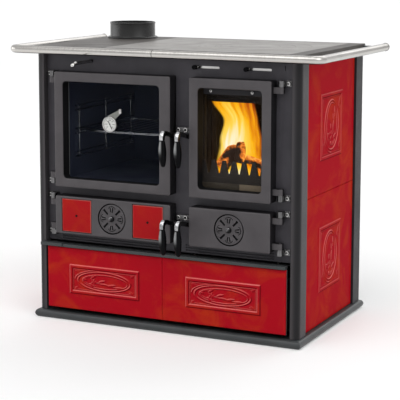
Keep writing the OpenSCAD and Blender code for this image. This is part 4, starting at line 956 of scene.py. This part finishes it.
def buildThermometer(look):
    low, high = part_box("thermometer_case")
    x, z = (low.x + high.x) / 2, (low.z + high.z) / 2
    face = low.y + 0.0040
    bm = copyNode("thermometer_case")
    for f in bm.faces:
        c = f.calc_center_median()
        if f.normal.y < -0.9 and abs(c.y - face) < 0.0004:
            f.material_index = 1
    body = finishPiece("thermometer_body", bm, [brightSteel, dialWhite], "oven_door", ["thermometer_case"])
    softenPiece(body, 0.0007)
    bm = bmesh.new()
    for k in range(look["ticks"]):   # every fifth tick is longer and thicker
        turn = radians(look["startAngle"] - k * look["tickSweep"])
        long, thick = (0.0042, 0.0009) if k % 5 == 0 else (0.0022, 0.0005)
        verts = addBlock(bm, (look["tickReach"] - long / 2, 0, 0), (long, 0.0002, thick))
        bmesh.ops.rotate(bm, verts=verts, cent=(0, 0, 0), matrix=Matrix.Rotation(-turn, 3, "Y"))
        bmesh.ops.translate(bm, verts=verts, vec=(x, face - 0.0001, z))
    for k, text in enumerate(look["numbers"]):
        curve = bpy.data.curves.new("dialNumber", "FONT")
        curve.body, curve.size, curve.extrude = text, look["numberSize"], 0.00008
        curve.align_x = curve.align_y = "CENTER"
        holder = newObject("dialNumber", curve)
        bpy.context.view_layer.update()
        made = bpy.data.meshes.new_from_object(holder.evaluated_get(bpy.context.evaluated_depsgraph_get()))
        turn, far = radians(look["startAngle"] - k * 5 * look["tickSweep"]), look["numberRadius"]
        place = Matrix.Translation((x + far * cos(turn), face - 0.0001, z + far * sin(turn)))
        made.transform(place @ Matrix.Rotation(pi / 2, 4, "X"))
        bm.from_mesh(made)
        bpy.data.objects.remove(holder)
    finishPiece("thermometer_marks", bm, [dialInk], "oven_door")
    dressNode("thermometer_needle", dialInk, 0)
    bm = bmesh.new()   # sprung clip that holds the case on the glass
    y = high.y - 0.0105
    clip = [((x - 0.002, y, z + 0.014), 0.026), ((x + 0.018, y, z + 0.029), 0.017), ((x + 0.034, y, z + 0.040), 0.011)]
    for (start, startWidth), (end, endWidth) in zip(clip, clip[1:]):
        start, end = Vector(start), Vector(end)
        along = (end - start).normalized()
        across = Vector((-along.z, 0, along.x))
        near, far = across * startWidth / 2, across * endWidth / 2
        quad = bm.faces.new([bm.verts.new(c) for c in (start + near, start - near, end - far, end + far)])
        grown = bmesh.ops.extrude_face_region(bm, geom=[quad])
        bmesh.ops.translate(bm, verts=vertsOf(grown), vec=(0, -0.0012, 0))
    addBlock(bm, (x + 0.035, high.y - 0.0135, z + 0.041), (0.0085, 0.006, 0.0135), 0.001, 2, 1)
    bmesh.ops.recalc_face_normals(bm, faces=bm.faces)
    finishPiece("thermometer_clip", bm, [clipSteel, brightSteel], "oven_door")
    bm = bmesh.new()   # ground edge of the glass along the hinge side
    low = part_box("oven_door_glass")[0]
    addBlock(bm, (-0.3288, low.y - 0.0003, z - 0.0225), (0.0016, 0.0006, 0.284), 0.0002, 1)
    finishPiece("oven_glass_edge", bm, [clipSteel], "oven_door")


buildDoors(doorLook)
buildThermometer(thermometerLook)
print("range cooker: doors built")


# hinges, handles and draught controls
handleLook = {"leverEdge": 0.0012, "pivotY": -0.276, "neckY": -0.344, "upperPivot": 0.600, "lowerPivot": 0.338,
              "gripSegments": 40}
hingeLook = {
    "edge": 0.0009, "bracketCuts": (-0.398, -0.380, 0.373, 0.391), "keeperBolts": (0.048, 0.071),
    "hingeHeights": (0.757, 0.427, 0.380, 0.268), "keeperHeights": (0.617, 0.355), "screws": (0.151, 0.282),
}


def buildHinges(look):
    dressNode("hinge_brackets", hingeSteel, look["edge"], cuts=[(0, x) for x in look["bracketCuts"]])
    dressNode("latch_keepers", hingeSteel, 0, cuts=[(0, x) for x in look["keeperBolts"]])
    low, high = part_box("hinge_brackets")
    bm = bmesh.new()
    for side in (-1, 1):
        pin = low.x + 0.026 if side < 0 else high.x - 0.026
        for z in look["hingeHeights"]:
            addSocketBolt(bm, (pin + side * 0.018, -0.2500, z + 0.009), (0, -1, 0), 0.0062, 0.0052)
    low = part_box("latch_keepers")[0]
    for z in look["keeperHeights"]:
        for x in look["keeperBolts"]:
            addSocketBolt(bm, (x, low.y + 0.0042, z), (0, -1, 0), 0.0068, 0.0052)
    finishPiece("front_plate_bolts", bm, [brightSteel, darkPartsAndShade], "cabinet")
    bm = bmesh.new()
    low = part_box("fire_glass_retainer")[0]
    for x in look["screws"]:
        addSocketBolt(bm, (x, low.y + 0.003, 0.7360), (0, -1, 0), 0.0042, 0.0036)
    finishPiece("retainer_screws", bm, [brightSteel, darkPartsAndShade], "fire_door")


def buildGrip(node, look):   # turned pear shape, bowed like the CAD grip
    low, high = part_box(node)
    middle, length = (low + high) / 2, high.z - low.z
    profile = [(0.0, 1.0), (0.0062, 1.0), (0.0080, 0.985), (0.0086, 0.93), (0.0099, 0.84), (0.0113, 0.72),
               (0.0119, 0.60), (0.0117, 0.48), (0.0109, 0.35), (0.0096, 0.23), (0.0079, 0.12), (0.0059, 0.04),
               (0.0034, 0.008), (0.0, 0.0)]
    bm = bmesh.new()
    points = [(middle.x + r, 0, low.z + t * length) for r, t in profile]
    spinProfile(bm, points, (middle.x, 0, 0), (0, 0, 1), look["gripSegments"])
    # reach of the painted highlight streak: the grip's upper part
    streakReach = bm.verts.layers.float.new("streakReach")
    for v in bm.verts:
        t = (v.co.z - low.z) / length
        v[streakReach] = stepUp(t - 0.42, 0.30)
        v.co.y += low.y + 0.0121 + 0.0072 * (1 - t) ** 2 + 0.0010 * t
    bmesh.ops.recalc_face_normals(bm, faces=bm.faces)
    piece = finishPiece(node + "_turned", bm, [gripBlack], bodyOf(node), [node], 60)
    smooth = piece.modifiers.new("roundness", "SUBSURF")
    smooth.levels = smooth.render_levels = 1


def buildHandles(look):
    for door in ("oven", "tile", "fire", "ash"):
        node = door + "_handle_lever"
        low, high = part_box(node)
        bm = copyNode(node, [(1, look["pivotY"])])
        pivotY, pivotZ = look["pivotY"], look["upperPivot"] if door in ("oven", "fire") else look["lowerPivot"]
        middle = (low.x + high.x) / 2
        rounded = []
        for e in bm.edges:
            if len(e.link_faces) != 2 or e.calc_face_angle(0) <= radians(40) or not e.is_convex:
                continue
            offPin = all(hypot(v.co.y - pivotY, v.co.z - pivotZ) > 0.0058 for v in e.verts)
            behindNeck = any(v.co.y < look["neckY"] for v in e.verts) and all(abs(v.co.x - middle) < 0.0045 for v in e.verts)
            if offPin and not behindNeck:
                rounded.append(e)
        bevelEdges(bm, rounded, look["leverEdge"], 3)
        finishPiece(node + "_soft", bm, [leverChrome], bodyOf(node), [node])
        buildGrip(door + "_handle_grip", look)


def buildDraughtControls():
    dressNode("flue_damper", brightSteel, 0)
    for node in ("air_slider_left", "air_slider_right"):
        bm = copyNode(node)
        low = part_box(node)[0]
        for f in bm.faces:
            if f.calc_center_median().y < -0.2462:
                f.material_index = 1
        slider = finishPiece(node + "_soft", bm, [brightSteel, gripBlack], bodyOf(node), [node])
        softenPiece(slider, 0.0008)


buildHinges(hingeLook)
buildHandles(handleLook)
buildDraughtControls()
print("range cooker: fittings built")


# oven and firebox
for node, material in (("oven_box", ovenSteel), ("cleaning_chamber", sheetPaint), ("ash_chamber", fireIron),
                       ("ash_pan", sheetPaint), ("firebox_liners", fireIron), ("fire_grate", fireIron)):
    keepNode(node, material)
dressNode("log_guard", fireIron, 0.0010)
dressNode("oven_side_racks", wireChrome, 0)
dressNode("oven_shelf", wireChrome, 0)

fireLook = {
    "logs": [   # start, end and radius
        ((0.150, -0.176, 0.496), (0.180, -0.132, 0.556), 0.023), ((0.206, -0.186, 0.500), (0.194, -0.140, 0.568), 0.019),
        ((0.224, -0.176, 0.528), (0.300, -0.150, 0.498), 0.020), ((0.150, -0.110, 0.484), (0.280, -0.060, 0.480), 0.030),
        ((0.236, -0.160, 0.496), (0.250, 0.060, 0.500), 0.026)],
    "logSteps": 14, "logSides": 26, "seed": 4,
    "flameTop": 0.694, "flameBottom": 0.452, "frontFlameTop": 0.522,
    "baffle": (0.247, 0.006, 0.088), "baffleAt": (0.2235, -0.160),
    "bricks": ((0.1035, 0.2325), (0.2335, 0.3435)), "brickY": -0.2360, "brickZ": 0.4515,
}


def logFinish():
    material, tree, bsdf = startFinish("burningLog", Roughness=0.9, Emission_Strength=1.3)
    place = objectPlace(tree)
    cracks = addNode(tree, "TexVoronoi", {"Vector": place, "Scale": 62.0}, feature="DISTANCE_TO_EDGE")
    cloud = noiseOf(tree, place, 26.0, 4.0)
    edge = remap(tree, cracks.outputs["Distance"], 0.0, 0.14, 1.0, 0.42)
    glow = calc(tree, "MULTIPLY", remap(tree, cloud, 0.46, 0.64), edge)
    ramp = addNode(tree, "ValToRGB", {"Fac": glow})
    stops = ramp.color_ramp.elements
    stops[0].color, stops[1].color = (0.004, 0.001, 0.0005, 1), (1.0, 0.50, 0.08, 1)
    stops.new(0.35).color = (0.72, 0.17, 0.014, 1)
    bark = mixColour(tree, cloud, (0.012, 0.008, 0.006), (0.06, 0.035, 0.022))
    feed(tree, bsdf.inputs, Base_Color=bark, Emission_Color=ramp.outputs[0])
    addBump(tree, bsdf, cloud, 0.004)
    return material


def flameFinish():
    material, tree, bsdf = startFinish("flame", Base_Color=(0.0, 0.0, 0.0), Roughness=1.0, Specular_IOR_Level=0.0,
                                       Emission_Strength=1.2)
    uv = addNode(tree, "UVMap", uv_map="flameMap").outputs[0]
    across = addNode(tree, "SeparateXYZ", {0: uv}).outputs[0]
    broad = addNode(tree, "Mapping", {"Vector": uv, "Scale": (4.0, 1.0, 1.0)}).outputs[0]
    lick = noiseOf(tree, broad, 1.6, 2.0, Distortion=0.8)
    thin = addNode(tree, "Mapping", {"Vector": uv, "Scale": (8.0, 1.3, 1.0), "Rotation": (0, 0, radians(7))}).outputs[0]
    streak = noiseOf(tree, thin, 1.6, 3.0, Distortion=0.5)
    core = addNode(tree, "Mapping", {"Vector": uv, "Location": (-0.42, -0.53, 0.0), "Scale": (1.35, 1.15, 0.0)}).outputs[0]
    away = addNode(tree, "VectorMath", {0: core}, operation="LENGTH").outputs["Value"]
    heat = calc(tree, "MULTIPLY_ADD", away, -0.86, 0.95)   # hot in the middle, cooler outward
    heat = calc(tree, "MULTIPLY_ADD", lick, 0.68, heat)
    heat = calc(tree, "MULTIPLY_ADD", streak, 0.26, heat)
    ramp = addNode(tree, "ValToRGB", {"Fac": remap(tree, heat, 0.45, 1.35)})
    stops = ramp.color_ramp.elements
    stops[0].color, stops[1].color = (0.16, 0.018, 0.003, 1), (1.0, 0.92, 0.66, 1)
    for where, colour in ((0.18, (0.45, 0.075, 0.006, 1)), (0.34, (0.80, 0.26, 0.006, 1)),
                          (0.50, (0.98, 0.46, 0.008, 1)), (0.72, (1.0, 0.68, 0.09, 1))):
        stops.new(where).color = colour
    sideAway = calc(tree, "ABSOLUTE", calc(tree, "SUBTRACT", across, 0.5))
    fray = calc(tree, "MULTIPLY_ADD", streak, 0.20, sideAway)
    feed(tree, bsdf.inputs, Emission_Color=ramp.outputs[0], Alpha=remap(tree, fray, 0.59, 0.50))
    return material


def buildLogs(look):
    burningLog = logFinish()
    bm = bmesh.new()
    for k, (start, end, radius) in enumerate(look["logs"]):
        start, end = Vector(start), Vector(end)
        length = (end - start).length
        log = bmesh.new()
        steps = look["logSteps"]
        points = [(radius * (0.90 if i in (0, steps) else 1.0), 0, -length / 2 + length * i / steps)
                  for i in range(steps + 1)]
        points = [(0, 0, -length / 2), *points, (0, 0, length / 2)]
        spinProfile(log, points, (0, 0, 0), (0, 0, 1), look["logSides"])
        for v in log.verts:
            push = 1 + 0.30 * noise.noise(Vector((v.co.x * 30, v.co.y * 30, v.co.z * 8 + k * 7 + look["seed"])))
            split = 0.78 if v.co.x * cos(k) + v.co.y * sin(k) > radius * 0.5 else 1.0   # flat side where it was split
            v.co.x, v.co.y = v.co.x * push * split, v.co.y * push * split
        bmesh.ops.recalc_face_normals(log, faces=log.faces)
        turn = (end - start).to_track_quat("Z", "Y").to_matrix().to_4x4()
        bmesh.ops.transform(log, matrix=Matrix.Translation((start + end) / 2) @ turn, verts=log.verts)
        addTo(bm, log)
    finishPiece("burning_logs", bm, [burningLog], "cabinet", sharpAngle=50)


def buildFlames(look):
    flame = flameFinish()
    bm = bmesh.new()
    bm.loops.layers.uv.new("flameMap")   # filled by the grids below
    shapes = [   # depth, left edge and right edge at bottom, waist and top
        (-0.150, ((0.120, 0.276), (0.116, 0.272), (0.126, 0.270), (0.139, 0.260), (0.098, 0.248))),
        (-0.214, ((0.140, 0.335), (0.146, 0.330), (0.160, 0.310), (0.186, 0.290), (0.200, 0.268))),
    ]
    for k, (y, edges) in enumerate(shapes):
        top = look["flameTop"] + 0.006 if k == 0 else look["frontFlameTop"]
        made = bmesh.ops.create_grid(bm, x_segments=16, y_segments=28, size=0.5, calc_uvs=True)
        for v in made["verts"]:
            across, height = v.co.x + 0.5, v.co.y + 0.5
            at = height * (len(edges) - 1)
            i = min(int(at), len(edges) - 2)
            f = at - i
            f = f * f * (3 - 2 * f)
            left = edges[i][0] * (1 - f) + edges[i + 1][0] * f
            right = edges[i][1] * (1 - f) + edges[i + 1][1] * f
            wave = 0.010 * noise.noise(Vector((across * 3, height * 4, k * 5.0)))
            v.co = (left + (right - left) * across, y + wave, look["flameBottom"] + (top - look["flameBottom"]) * height)
    finishPiece("fire_flames", bm, [flame], "cabinet")


def buildFireDetails(look):
    bm = bmesh.new()   # smoke baffle above the flames
    addBlock(bm, (*look["baffleAt"], look["flameTop"] + look["baffle"][2] / 2), look["baffle"], 0.0015)
    finishPiece("smoke_baffle", bm, [fireIron], "cabinet")
    bm = bmesh.new()   # brick sill in front of the comb
    for k, (x0, x1) in enumerate(look["bricks"]):
        addBlock(bm, ((x0 + x1) / 2, look["brickY"], look["brickZ"]), (x1 - x0, 0.0034, 0.0225), 0.0008, 2, k)
    finishPiece("brick_sill", bm, [brickBrown, brickBeige], "cabinet")


buildLogs(fireLook)
buildFlames(fireLook)
buildFireDetails(fireLook)
print("range cooker: oven and fire built")

bpy.context.scene.view_settings.view_transform = "Standard"
